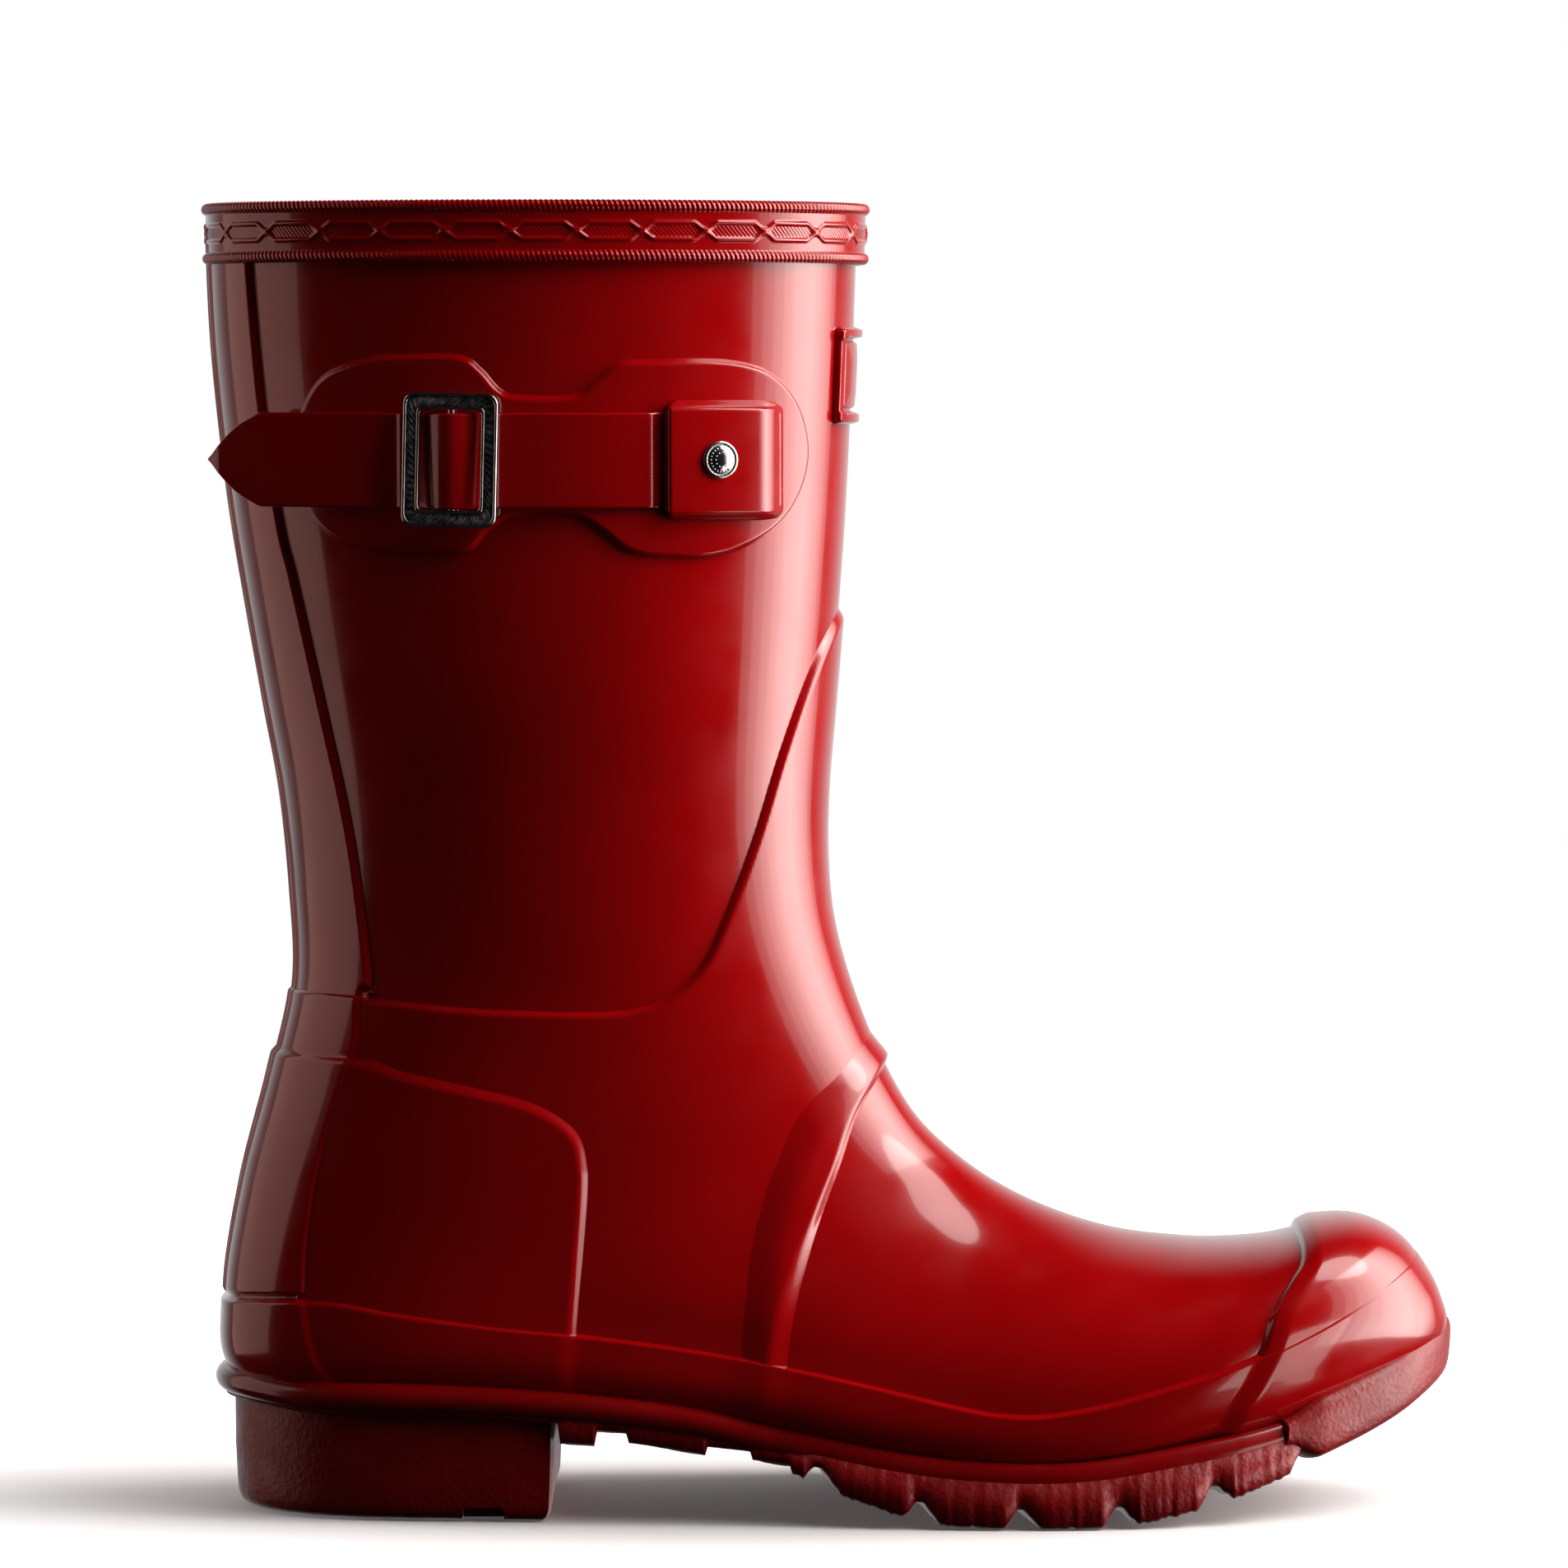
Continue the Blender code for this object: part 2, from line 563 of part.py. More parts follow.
def make_sole():
    make("outsole", lofted([[(x, y, z) for y, z in sole_section(x)] for x in sole_stations()]), *MATTE_RUBBER)

    start, end, half = SHANK_PLACE
    bed = [(start, height_on(SOLE_TOP, start))]
    bed += [point for point in SOLE_TOP if start < point[0] < end]
    bed.append((end, height_on(SOLE_TOP, end)))
    strip = between(lowered(bed, 2.6 - GAP), lowered(bed, 0.8))
    left, right, side = start + 2, end - 2, half - 0.5
    inside = [(left, -side), (right, -side), (right, side), (left, side)]
    shank = combine(prism(strip, "Y", -half, half), prism(inside, "Z", *DEPTHS), "INTERSECT")
    make("arch_shank", shank, *STEEL)

    under_plate = lowered(SOLE_TOP, PLATE + STEM + GAP)
    breast = HEEL_BREAST + 1.2
    heel_top = [point for point in under_plate if -134.6 < point[0] < HEEL_BREAST]
    heel_top.append((breast, height_on(under_plate, breast)))
    notch_start, notch_end, notch_height = NOTCH
    heel_low = [(-133.5, 4.0), (-132.4, 1.4), (-130, 0), (notch_start, 0), (notch_start, notch_height),
                (notch_end, notch_height), (notch_end, 0), (HEEL_BREAST - 1.2, 0), (HEEL_BREAST, 1.4)]
    heel = combine(prism(between(heel_low, heel_top), "Y", -BEYOND, BEYOND),
                   prism(plan_outline(0.5), "Z", *DEPTHS), "INTERSECT")
    make("heel_block", heel, *MATTE_RUBBER)

    low = [point for point in SOLE_TOP if point[0] > BUMPER_START - 5]
    high = lowered([point for point in FEATHER if point[0] >= BUMPER_START], GAP)
    make("toe_bumper", trimmed(BUMPER, between(low, high), 14.0), *MATTE_RUBBER)


def make_insole():
    """Board, foam and cover sheet, one above the other on the floor of the lining."""
    for name, offset, low, high, look in INSOLE_STACK:
        core = filled(offset, 8.0, 21.0)
        slab = between(lowered(SOLE_TOP, -low), lowered(SOLE_TOP, -high))
        make(name, clipped(core, slab), *look)


def strap_grid(columns, offsets):
    """Band over the outer side: one ring of points for each x, at the strap's inner and outer face."""
    rings = []
    for x, offset in zip(columns, offsets):
        heights = (STRAP_Z - STRAP_HALF, STRAP_Z, STRAP_Z + STRAP_HALF)
        ring = [side_point(x, z, offset) for z in heights]
        ring += [side_point(x, z, offset + STRAP_THICK) for z in reversed(heights)]
        rings.append(ring)
    return lofted(rings)


def side_axes(x, z):
    """Point on the outer side of the leg with its level outward, forward and upward directions."""
    point = side_point(x, z, 0.0)
    outside = side_point(x, z, 5.0) - point
    outside.z = 0.0
    outside.normalize()
    up = Vector((0, 0, 1))
    return point, outside, up.cross(outside), up


def drill(bm, radius, low, high):
    """Cut a round hole at the rivet through a piece, between two offsets from the skin."""
    return combine(bm, turned(((radius, low), (radius, high)), 14), "DIFFERENCE")


def turned(profile, sides=20, closed=False):
    """Body of revolution about the rivet's axis, from (radius, offset) pairs."""
    point, outside, forward, up = side_axes(RIVET_X, STRAP_Z)
    rings = []
    for radius, offset in profile:
        turns = [math.tau * k / sides for k in range(sides)]
        spokes = [forward * math.cos(turn) + up * math.sin(turn) for turn in turns]
        rings.append([point + outside * offset + spoke * radius for spoke in spokes])
    return lofted(rings, closed)


def hump(distance):
    """Height of the strap above its seat where it rides over the buckle's bar."""
    reach = 7.2
    if abs(distance) > reach:
        return 0.0
    return 3.6 * math.cos(math.pi * distance / (2 * reach)) ** 2


def make_strap():
    patch = combine(tube(*LAYER_ONE, end=5.0), prism(closed_smooth(PATCH), *OUTER_SIDE), "INTERSECT")
    make("strap_patch", drill(patch, RIVET_RADIUS + 0.05, -3.0, 4.0), *RUBBER)

    flat_run = (-20, -24, -28, -34, -42, -52, -62, -70, -77)
    over_bar = (-79.5, -82, -84, BUCKLE_X, -87.2, -89.2, -91.7, -94.4, STRAP_END)
    columns = flat_run + over_bar
    strap = strap_grid(columns, [STRAP_SEAT + hump(x - BUCKLE_X) for x in columns])
    make("strap", drill(strap, POST_RADIUS + GAP, 0.0, 6.0), *RUBBER)

    pad_area = rounded_rectangle(-39.5, -12.0, 228.2, 254.6, 4.0)
    pad = combine(tube(*PAD, end=4.0, around=FINE), prism(pad_area, *OUTER_SIDE), "INTERSECT")
    half = STRAP_HALF + GAP
    bed_area = rounded_rectangle(-60.0, -14.6, STRAP_Z - half, STRAP_Z + half, 0.5)
    bed = tube(0.5, STRAP_SEAT + STRAP_THICK + GAP, end=4.0, around=FINE)
    bed = combine(bed, prism(bed_area, *OUTER_SIDE), "INTERSECT")
    pad = combine(pad, bed, "DIFFERENCE")
    make("anchor_pad", drill(pad, POST_RADIUS + GAP, 0.0, 8.0), *RUBBER)
    make_rivet()
    make_tail()
    make_buckle()


def closed_smooth(points):
    """A smooth closed loop through the points, two steps to a span."""
    count = len(points)
    loop = []
    for i in range(count):
        rows = [points[(i + k) % count] for k in (-1, 0, 1, 2)]
        loop += [tuple(mix(*rows, j / 2)) for j in range(2)]
    return loop


def rounded_rectangle(left, right, low, high, radius):
    """Rectangle with round corners, as a closed loop."""
    steps = 3
    loop = []
    corners = ((right, high, 0), (left, high, 90), (left, low, 180), (right, low, 270))
    for x, z, turn in corners:
        centre_x = x - radius if x == right else x + radius
        centre_z = z - radius if z == high else z + radius
        for k in range(steps + 1):
            angle = math.radians(turn + 90 * k / steps)
            loop.append((centre_x + radius * math.cos(angle), centre_z + radius * math.sin(angle)))
    return loop


def make_rivet():
    """Domed head with its post, and the burr that the post passes through under the strap."""
    profile = ((POST_RADIUS, 0.5), (POST_RADIUS, 5.55), (RIVET_RADIUS, 5.55), (RIVET_RADIUS, 6.1),
               (RIVET_RADIUS - 0.7, 6.9), (RIVET_RADIUS - 2.2, 7.3))
    make("rivet", turned(profile), *STEEL)
    bore, rim = POST_RADIUS + GAP, RIVET_RADIUS - 0.35
    ring = ((bore, 0.5), (bore, 1.3), (rim, 1.3), (rim, 0.5))
    make("rivet_burr", turned(ring, closed=True), *STEEL)


def make_tail():
    """Free end of the strap: it leaves the buckle along the leg and stands off past the back edge."""
    start = side_point(TAIL_START, STRAP_Z, STRAP_SEAT)
    tangent = side_point(TAIL_START - 4, STRAP_Z, STRAP_SEAT) - start
    tangent.z = 0
    tip = Vector((*TAIL_TIP, STRAP_Z))
    bend = start + tangent.normalized() * TAIL_BEND
    shoulder = 0.80
    rings = []
    for f in (0, 0.15, 0.3, 0.45, 0.6, 0.72, shoulder, 0.86, 0.93, 0.975, 1.0):
        middle = start * (1 - f) ** 2 + bend * 2 * f * (1 - f) + tip * f * f
        run = (bend - start) * (1 - f) + (tip - bend) * f
        outside = Vector((run.y, -run.x, 0)).normalized()
        if outside.y > 0:
            outside.negate()
        narrowing = max(f - shoulder, 0) / (1 - shoulder)
        up = Vector((0, 0, STRAP_HALF * (1 - narrowing ** 1.5 * 0.9)))
        face = middle + outside * STRAP_THICK
        rings.append([middle - up, middle + up, face + up, face - up])
    make("strap_tail", lofted(rings), *RUBBER)


def buckle_plate(loop, low, high):
    """Plate square to the leg's side at the buckle: an outline of (forward, up) between two offsets."""
    point, outside, forward, up = side_axes(BUCKLE_X, STRAP_Z)
    rings = []
    for offset in (low, high):
        rings.append([point + outside * offset + forward * a + up * b for a, b in loop])
    return lofted(rings)


def buckle_rod(radius, half_length):
    """Upright round rod on the line of the buckle's bar."""
    point, outside, forward, up = side_axes(BUCKLE_X, STRAP_Z)
    sides = 12
    spokes = []
    for k in range(sides):
        turn = math.tau * k / sides
        spokes.append((forward * math.cos(turn) + outside * math.sin(turn)) * radius)
    centre = point + outside * BAR_OUT
    return lofted([[centre + up * end + spoke for spoke in spokes] for end in (-half_length, half_length)])


def make_buckle():
    """Steel slide buckle on its centre bar, and the moulded keeper that holds the bar."""
    half_x, half_z = BUCKLE_HALF
    outer = rounded_rectangle(-half_x, half_x, -half_z, half_z, 2.4)
    half_x, half_z = WINDOW_HALF
    window = rounded_rectangle(-half_x, half_x, -half_z, half_z, 1.0)
    low, high = FRAME_OUT
    frame = combine(buckle_plate(outer, low, high), buckle_plate(window, low - 2, high + 2), "DIFFERENCE")
    make("buckle_frame", frame, *STEEL)
    make("buckle_bar", buckle_rod(BAR_RADIUS, BUCKLE_HALF[1] - 1.9), *STEEL)

    half_x, half_z = KEEPER_HALF
    corners = [(-half_x, -half_z), (half_x, -half_z), (half_x, half_z), (-half_x, half_z)]
    foot = buckle_plate(corners, 1.75, 2.4)
    keeper = combine(foot, buckle_rod(BAR_RADIUS + 0.8, half_z), "UNION")
    keeper = combine(keeper, buckle_rod(BAR_RADIUS + 0.3, half_z + 2), "DIFFERENCE")
    make("buckle_keeper", keeper, *RUBBER)


def make_badge():
    """Raised frame and blank plaque high on the front of the leg."""
    front = ("X", -40, 60)
    frame = combine(tube(0.4, 2.1, end=4.0), prism(badge_area(0, 0, 1.5), *front), "INTERSECT")
    frame = combine(frame, prism(badge_area(3.2, 3.1, 1.0), *front), "DIFFERENCE")
    make("badge_frame", frame, *RUBBER)
    plaque = combine(tube(0.4, 1.0, end=4.0), prism(badge_area(3.6, 3.5, 0.8), *front), "INTERSECT")
    make("badge_plaque", plaque, *RUBBER)


def badge_area(side, end, radius):
    """The badge's rectangle in y, z, made smaller by side and by end."""
    half, low, high = BADGE
    return rounded_rectangle(side - half, half - side, low + end, high - end, radius)


for old in list(bpy.data.objects):
    bpy.data.objects.remove(old)
make_upper()
make_foot_layers()
make_binding()
make_sole()
make_insole()
make_strap()
make_badge()
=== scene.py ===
"""Visual model of the red rubber rain boot, over its CAD frame.

The boot is drawn in mm as one loft of closed sections, the skin, as in the CAD source. Each rubber
layer is a closed shell over part of that skin: its height follows the distance to the layer's own
edge in the side view, so edges are rounded and tuck into the layer below. The buckle, rivet, strap,
rim, sole, lining and insole are meshes of their own. Everything is moved to the row frame at the end.
"""
import math

import bmesh
import bpy
import numpy as np
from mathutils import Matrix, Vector


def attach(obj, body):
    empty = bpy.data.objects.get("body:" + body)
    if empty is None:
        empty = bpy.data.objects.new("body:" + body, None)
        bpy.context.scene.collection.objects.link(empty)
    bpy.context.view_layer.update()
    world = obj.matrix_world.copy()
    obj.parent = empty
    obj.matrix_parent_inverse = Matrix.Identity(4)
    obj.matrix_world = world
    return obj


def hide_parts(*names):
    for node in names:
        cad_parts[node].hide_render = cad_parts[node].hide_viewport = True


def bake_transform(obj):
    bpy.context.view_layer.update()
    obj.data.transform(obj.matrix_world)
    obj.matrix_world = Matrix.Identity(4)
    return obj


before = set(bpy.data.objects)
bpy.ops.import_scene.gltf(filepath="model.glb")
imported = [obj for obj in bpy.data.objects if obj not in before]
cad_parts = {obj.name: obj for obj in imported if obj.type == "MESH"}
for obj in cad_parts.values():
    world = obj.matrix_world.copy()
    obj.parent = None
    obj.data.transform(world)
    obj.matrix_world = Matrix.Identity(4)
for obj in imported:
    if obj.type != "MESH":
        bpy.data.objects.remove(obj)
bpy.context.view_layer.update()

MM = 0.001
# Moves the drawing, in mm, to the frame's origin, as the CAD source does.
SHIFT = np.array((1.7, 1.5, 0.0))
TAU = math.tau

# ---- the skin

# Back point (x, z), front point (x, z), half width outside and inside, place of the widest point
# along the section, roundness of the back and of the front.
SECTIONS = np.array((
    (-142.9, 297.5, 5.3, 297.5, 50, 50, 0.5, 2.1, 2),
    (-141.6, 267.5, 4.3, 267.5, 49.5, 49.5, 0.5, 2.1, 2),
    (-138.1, 234.5, 2.9, 234.5, 48.5, 48.5, 0.5, 2.1, 2),
    (-134.3, 210.5, 1.3, 210.5, 47, 47, 0.5, 2.1, 2),
    (-130, 186, -0.7, 186, 45.2, 45.2, 0.5, 2.1, 2),
    (-126.2, 165, -2.4, 165.5, 43, 43, 0.5, 2.1, 2),
    (-124, 143, -2.6, 149.5, 41, 41, 0.5, 2.1, 2),
    (-123.3, 121, -1.1, 134.5, 39.2, 39.2, 0.5, 2.2, 2),
    (-128, 99, 3.3, 118.5, 38, 38, 0.5, 2.3, 2),
    (-134.3, 74, 9.8, 102.5, 37, 37, 0.48, 2.5, 2),
    (-137.9, 48, 18, 88.5, 36, 36, 0.46, 2.8, 2),
    (-133.5, 31.5, 28.5, 78.5, 36, 36, 0.45, 3.2, 2),
    (-100, 30, 40, 71, 36.5, 36, 0.42, 5, 2),
    (-62, 28.3, 53, 65.3, 38, 36.5, 0.38, 6, 2),
    (-28, 24.3, 66, 61.6, 41, 39.5, 0.34, 6, 2.05),
    (2, 17.6, 79, 59.9, 44.5, 44, 0.32, 5.5, 2.1),
    (30, 13.6, 90, 59.5, 46.5, 47, 0.3, 5, 2.15),
    (56, 13.2, 101, 60.3, 44.5, 46, 0.3, 4.5, 2.2),
    (80, 16.7, 111.5, 62.3, 39.5, 42.5, 0.32, 4, 2.3),
    (100, 20.6, 121, 62.4, 32, 36, 0.35, 3.5, 2.35),
    (116, 26, 129, 58.5, 23, 28, 0.4, 3, 2.3),
    (128, 31, 135, 50.5, 13.5, 18.5, 0.45, 2.5, 2.2),
    (134.5, 35.5, 137.8, 43.5, 6, 10, 0.5, 2.2, 2.2),
))
LAST = len(SECTIONS) - 1
TOE_ROWS = 7
TOE_BULGE = 1.5
AROUND = 480

# Heights over the skin in mm. The shell and the lining have an outer and an inner face. A rubber layer
# has a bed that is sunk in the layer below it, an edge that is level with that layer, and a top.
SHELL = (0.0, -1.3)
LINING = (-1.7, -2.5)
BED_ONE, EDGE_ONE, TOP_ONE = -0.9, -0.35, 1.4
BED_TWO, EDGE_TWO, TOP_TWO = 0.5, 1.0, 2.8
# How far a layer's bed runs on outside its outline, and how far layers run on under the foxing.
TUCK = 1.2
FOXING_LAP = 2.5
BEYOND = 175.0
LEG_TOP = 297.5
BINDING_LOW = 286.0

# ---- outlines in the side view (x, z)

SOLE_TOP = (
    (-150, 31.5), (-134, 31.2), (-120, 30), (-100, 30), (-80, 29.4), (-58, 28), (-33, 25.2), (-15, 21),
    (0, 18), (13, 15.6), (31, 13.5), (55, 13.2), (80, 16.7), (100, 20.6), (116, 26), (128, 31),
    (136, 35.5), (146, 42)
)
FOXING_TOP = (
    (-154, 46.5), (-119, 50.5), (-98, 48), (-79, 45.4), (-56, 43), (-31, 39.6), (-11, 36.1), (8, 32.2),
    (27, 28.1), (37, 26.4), (47, 26.4), (60, 28.6), (71, 31.4), (86, 35.7), (98, 40.3), (111, 46),
    (122, 51.5), (130, 55.8), (146, 64)
)
FOOT_TOP = (
    (-160, 121.5), (-122, 121), (-105.6, 119.3), (-78.8, 117.3), (-52, 116.8), (-43, 118), (-37, 121),
    (-31.5, 126), (-27.2, 134.1), (-19.4, 154.7), (-13.1, 174.8), (-6, 194), (1.5, 208.6), (10, 224)
)
COUNTER_EDGE = (
    (-150, 109.5), (-109, 106.6), (-97, 103.6), (-79, 99.8), (-69, 97.2), (-61.5, 93.3), (-57, 88.7),
    (-55.3, 82.3), (-55.2, 73.2), (-57.4, 44.6), (-58.6, 20)
)
STAY_EDGE = (
    (-132, 297), (-131.5, 284), (-128.6, 252), (-124.5, 226), (-121.8, 215), (-115.6, 187),
    (-109.7, 159.6), (-106.9, 141), (-105, 122.5), (-106.8, 119.5), (-107.8, 106.6), (-114.2, 85.5),
    (-117.9, 67), (-119.2, 50.5), (-119, 30)
)
BAND_REAR = (
    (18, 127), (6, 112), (-2.5, 102.3), (-7.5, 98), (-12.2, 92.4), (-16.8, 82.2), (-20.2, 72),
    (-22.4, 61.7), (-23.5, 51.5), (-24.3, 42.2), (-25, 20)
)
BAND_FRONT = (
    (40, 118), (20, 107.5), (12.5, 101.5), (8.5, 96.2), (4.8, 89.5), (1.7, 80), (-1.8, 70), (-4.6, 59.5),
    (-6.8, 49.5), (-8.3, 38.5), (-9.8, 20)
)
STAY_FOOT = ((-119.9, 60), (-119, 50), (-117.6, 41), (-115.6, 36), (-111, 33.2), (-104, 31.8))
CAP_EDGE = (
    (95, 74), (100.5, 66.3), (105, 62.8), (106.5, 60.5), (105.9, 57), (103, 53.6), (98.3, 47.5),
    (95.9, 41.4), (92.1, 34.4), (86.7, 26), (78.9, 12)
)
PATCH = (
    (-122.5, 241), (-121.8, 251.5), (-116.2, 260.7), (-105.7, 265), (-96, 265.8), (-84, 265.6),
    (-79, 262.4), (-75, 258), (-71, 256.7), (-59.5, 256.7), (-55, 259.5), (-49, 264), (-42, 264.6),
    (-25, 264.6), (-15, 262), (-8.3, 254.8), (-5.6, 243.5), (-8.2, 232.5), (-14.9, 224.3), (-26, 219.2),
    (-38.5, 218.8), (-47, 220.2), (-53.5, 225.2), (-59.5, 228.3), (-71, 228.5), (-77, 225.5),
    (-82, 220.4), (-90, 219.6), (-101, 219.8), (-112.5, 222.5), (-120, 230)
)
STAY_SPLIT = 119.3

# The foot seen from above (x, y), from the back of the heel along the outer side.
PLAN = (
    (-138, 0), (-134, -16), (-122, -28), (-105, -34), (-80, -36), (-45, -37.5), (-15, -40), (15, -44.5),
    (42, -46.5), (65, -45), (90, -39), (110, -29), (126, -17), (135, -6), (138, 3), (136, 12), (128, 22),
    (114, 32), (92, 41.5), (65, 46), (40, 47), (12, 44), (-15, 40.5), (-45, 37), (-80, 35.5),
    (-105, 33.5), (-122, 27.5), (-134, 16)
)

# ---- curves and grids


def catmull(a, b, c, d, f):
    """Catmull-Rom blend between b and c."""
    cube = 3 * b - 3 * c + d - a
    return 0.5 * (2 * b + (c - a) * f + (2 * a - 5 * b + 4 * c - d) * f * f + cube * f * f * f)


def curve(points, closed=False, steps=6):
    """A smooth line through the points."""
    p = np.array(points, float)
    count = len(p)
    spans = count if closed else count - 1
    out = []
    for i in range(spans):
        index = [(i + k) % count if closed else min(max(i + k, 0), count - 1) for k in (-1, 0, 1, 2)]
        out += [catmull(*p[index], j / steps) for j in range(steps)]
    if not closed:
        out.append(p[-1])
    return np.array(out)


def even_loop(loop, count):
    """Closed loop with evenly spaced points."""
    closed = np.concatenate([loop, loop[:1]])
    run = np.concatenate([[0], np.cumsum(np.linalg.norm(np.diff(closed, axis=0), axis=1))])
    at = np.arange(count) / count * run[-1]
    return np.stack([np.interp(at, run, closed[:, i]) for i in (0, 1)], 1)


def ease(value):
    """Smooth step from 0 to 1 as value goes from 0 to 1."""
    v = np.clip(value, 0, 1)
    return v * v * (3 - 2 * v)


def section_rows(places):
    """Interpolated section rows at places along the loft, counted in sections."""
    i = np.minimum(places.astype(int), LAST - 1)
    four = [SECTIONS[np.clip(i + k, 0, LAST)] for k in (-1, 0, 1, 2)]
    return catmull(*four, (places - i)[:, None])


def skin(turn, row):
    """Points of the skin: turn 0 is the front line, pi/2 the inner side, pi the back or sole line."""
    ahead, aside = np.cos(turn), np.sin(turn)
    power = np.where(ahead > 0, row[..., 8], row[..., 7])
    radius = (np.abs(ahead) ** power + np.abs(aside) ** power) ** (-1 / power)
    along = row[..., 6] + np.where(ahead > 0, 1 - row[..., 6], row[..., 6]) * radius * ahead
    y = np.where(aside > 0, row[..., 5], row[..., 4]) * radius * aside
    x = row[..., 0] + (row[..., 2] - row[..., 0]) * along
    z = row[..., 1] + (row[..., 3] - row[..., 1]) * along
    return np.stack([x, y, z], -1)


def even_places(step, first, last):
    """Places along the loft about step mm apart where it is longest."""
    fine = np.linspace(first, last, 2500)
    spread = skin(np.linspace(0, TAU, 25)[None, :], section_rows(fine)[:, None, :])
    run = np.concatenate([[0], np.cumsum(np.linalg.norm(np.diff(spread, axis=0), axis=2).max(1))])
    return np.interp(np.linspace(0, run[-1], int(run[-1] / step) + 2), run, fine)


def even_turns(rows, shares):
    """Turns at shares of each section's girth: 0 is the front line and a half the back line."""
    fine = np.linspace(0, TAU, 1081)
    middle = len(fine) // 2
    line = skin(fine[None, :], rows[:, None, :])
    run = np.linalg.norm(np.diff(line, axis=1), axis=2)
    whole, part = np.floor(shares), shares % 1
    turns = []
    for length in run:
        inner = np.concatenate([[0], np.cumsum(length[:middle])])
        outer = np.concatenate([[0], np.cumsum(length[middle:])])
        share = np.concatenate([0.5 * inner / inner[-1], 0.5 + 0.5 * outer[1:] / outer[-1]])
        turns.append(np.interp(part, share, fine) + whole * TAU)
    return np.array(turns)


class Grid:
    """Evenly spaced points over the skin, with their outward directions."""

    def __init__(self, step, around, first=0.0, last=float(LAST), side=None):
        self.closed = side is None
        shares = np.arange(around) / around if self.closed else np.linspace(*side, around)
        rows = section_rows(even_places(step, first, last))
        points = skin(even_turns(rows, shares), rows[:, None, :])
        if last == LAST:
            points = np.concatenate([points, self.toe_rows(points)])
        if self.closed:
            round_it = np.roll(points, -1, 1) - np.roll(points, 1, 1)
        else:
            round_it = np.gradient(points, axis=1)
        out = np.cross(np.gradient(points, axis=0), round_it)
        self.points = points
        self.out = out / np.linalg.norm(out, axis=2, keepdims=True)
        self.x, self.y, self.z = points[..., 0], points[..., 1], points[..., 2]

    @staticmethod
    def toe_rows(points):
        """Rounded end over the toe's last section."""
        ring = points[-1]
        centre = ring.mean(0)
        ahead = centre - points[-3].mean(0)
        ahead /= np.linalg.norm(ahead)
        rows = []
        for j in range(1, TOE_ROWS + 1):
            left = 1 - 0.97 * j / TOE_ROWS
            rows.append(centre + (ring - centre) * left + ahead * TOE_BULGE * (1 - left * left))
        return np.array(rows)

    def inside(self, outline, view="xz"):
        """Distance inside an outline of the side view (or the front view), negative outside."""
        across = self.x if view == "xz" else self.y
        return signed_distance(across, self.z, np.asarray(outline, float))


def signed_distance(a, b, outline):
    """Distance of the points (a, b) inside a closed outline, negative outside."""
    best = np.full(a.shape, np.inf)
    inside = np.zeros(a.shape, bool)
    for (a0, b0), (a1, b1) in zip(outline, np.roll(outline, -1, 0)):
        run_a, run_b = a1 - a0, b1 - b0
        square = run_a * run_a + run_b * run_b
        if square < 1e-12:
            continue
        share = np.clip(((a - a0) * run_a + (b - b0) * run_b) / square, 0, 1)
        best = np.minimum(best, (a - a0 - share * run_a) ** 2 + (b - b0 - share * run_b) ** 2)
        if run_b:
            crosses = (b0 > b) != (b1 > b)
            inside ^= crosses & (a < run_a * (b - b0) / run_b + a0)
    best = np.sqrt(best)
    return np.where(inside, best, -best)


def rounded_rectangle(left, right, low, high, radius, steps=6):
    """Rectangle with round corners, as a closed loop that starts on its right side."""
    loop = []
    corners = ((right - radius, high - radius, 0), (left + radius, high - radius, 90),
               (left + radius, low + radius, 180), (right - radius, low + radius, 270))
    for a, b, start in corners:
        for k in range(steps + 1):
            turn = math.radians(start + 90 * k / steps)
            loop.append((a + radius * math.cos(turn), b + radius * math.sin(turn)))
    return np.array(loop)


# ---- meshes


def mesh_object(name, points, *face_sets):
    """Object from points in mm and arrays of faces; each array holds faces of one size."""
    used, flat = np.unique(np.concatenate([f.ravel() for f in face_sets]), return_inverse=True)
    places = np.asarray(points, float).reshape(-1, 3)[used] * MM + SHIFT * MM
    sizes = np.concatenate([np.full(len(f), f.shape[1]) for f in face_sets])
    mesh = bpy.data.meshes.new(name)
    mesh.vertices.add(len(places))
    mesh.vertices.foreach_set("co", places.astype(np.float32).ravel())
    mesh.loops.add(len(flat))
    mesh.loops.foreach_set("vertex_index", flat.astype(np.int32).ravel())
    mesh.polygons.add(len(sizes))
    starts = np.concatenate([[0], np.cumsum(sizes)[:-1]])
    mesh.polygons.foreach_set("loop_start", starts.astype(np.int32))
    mesh.update(calc_edges=True)
    mesh.validate()
    mesh.shade_smooth()
    obj = bpy.data.objects.new(name + "_look", mesh)
    bpy.context.scene.collection.objects.link(obj)
    return obj


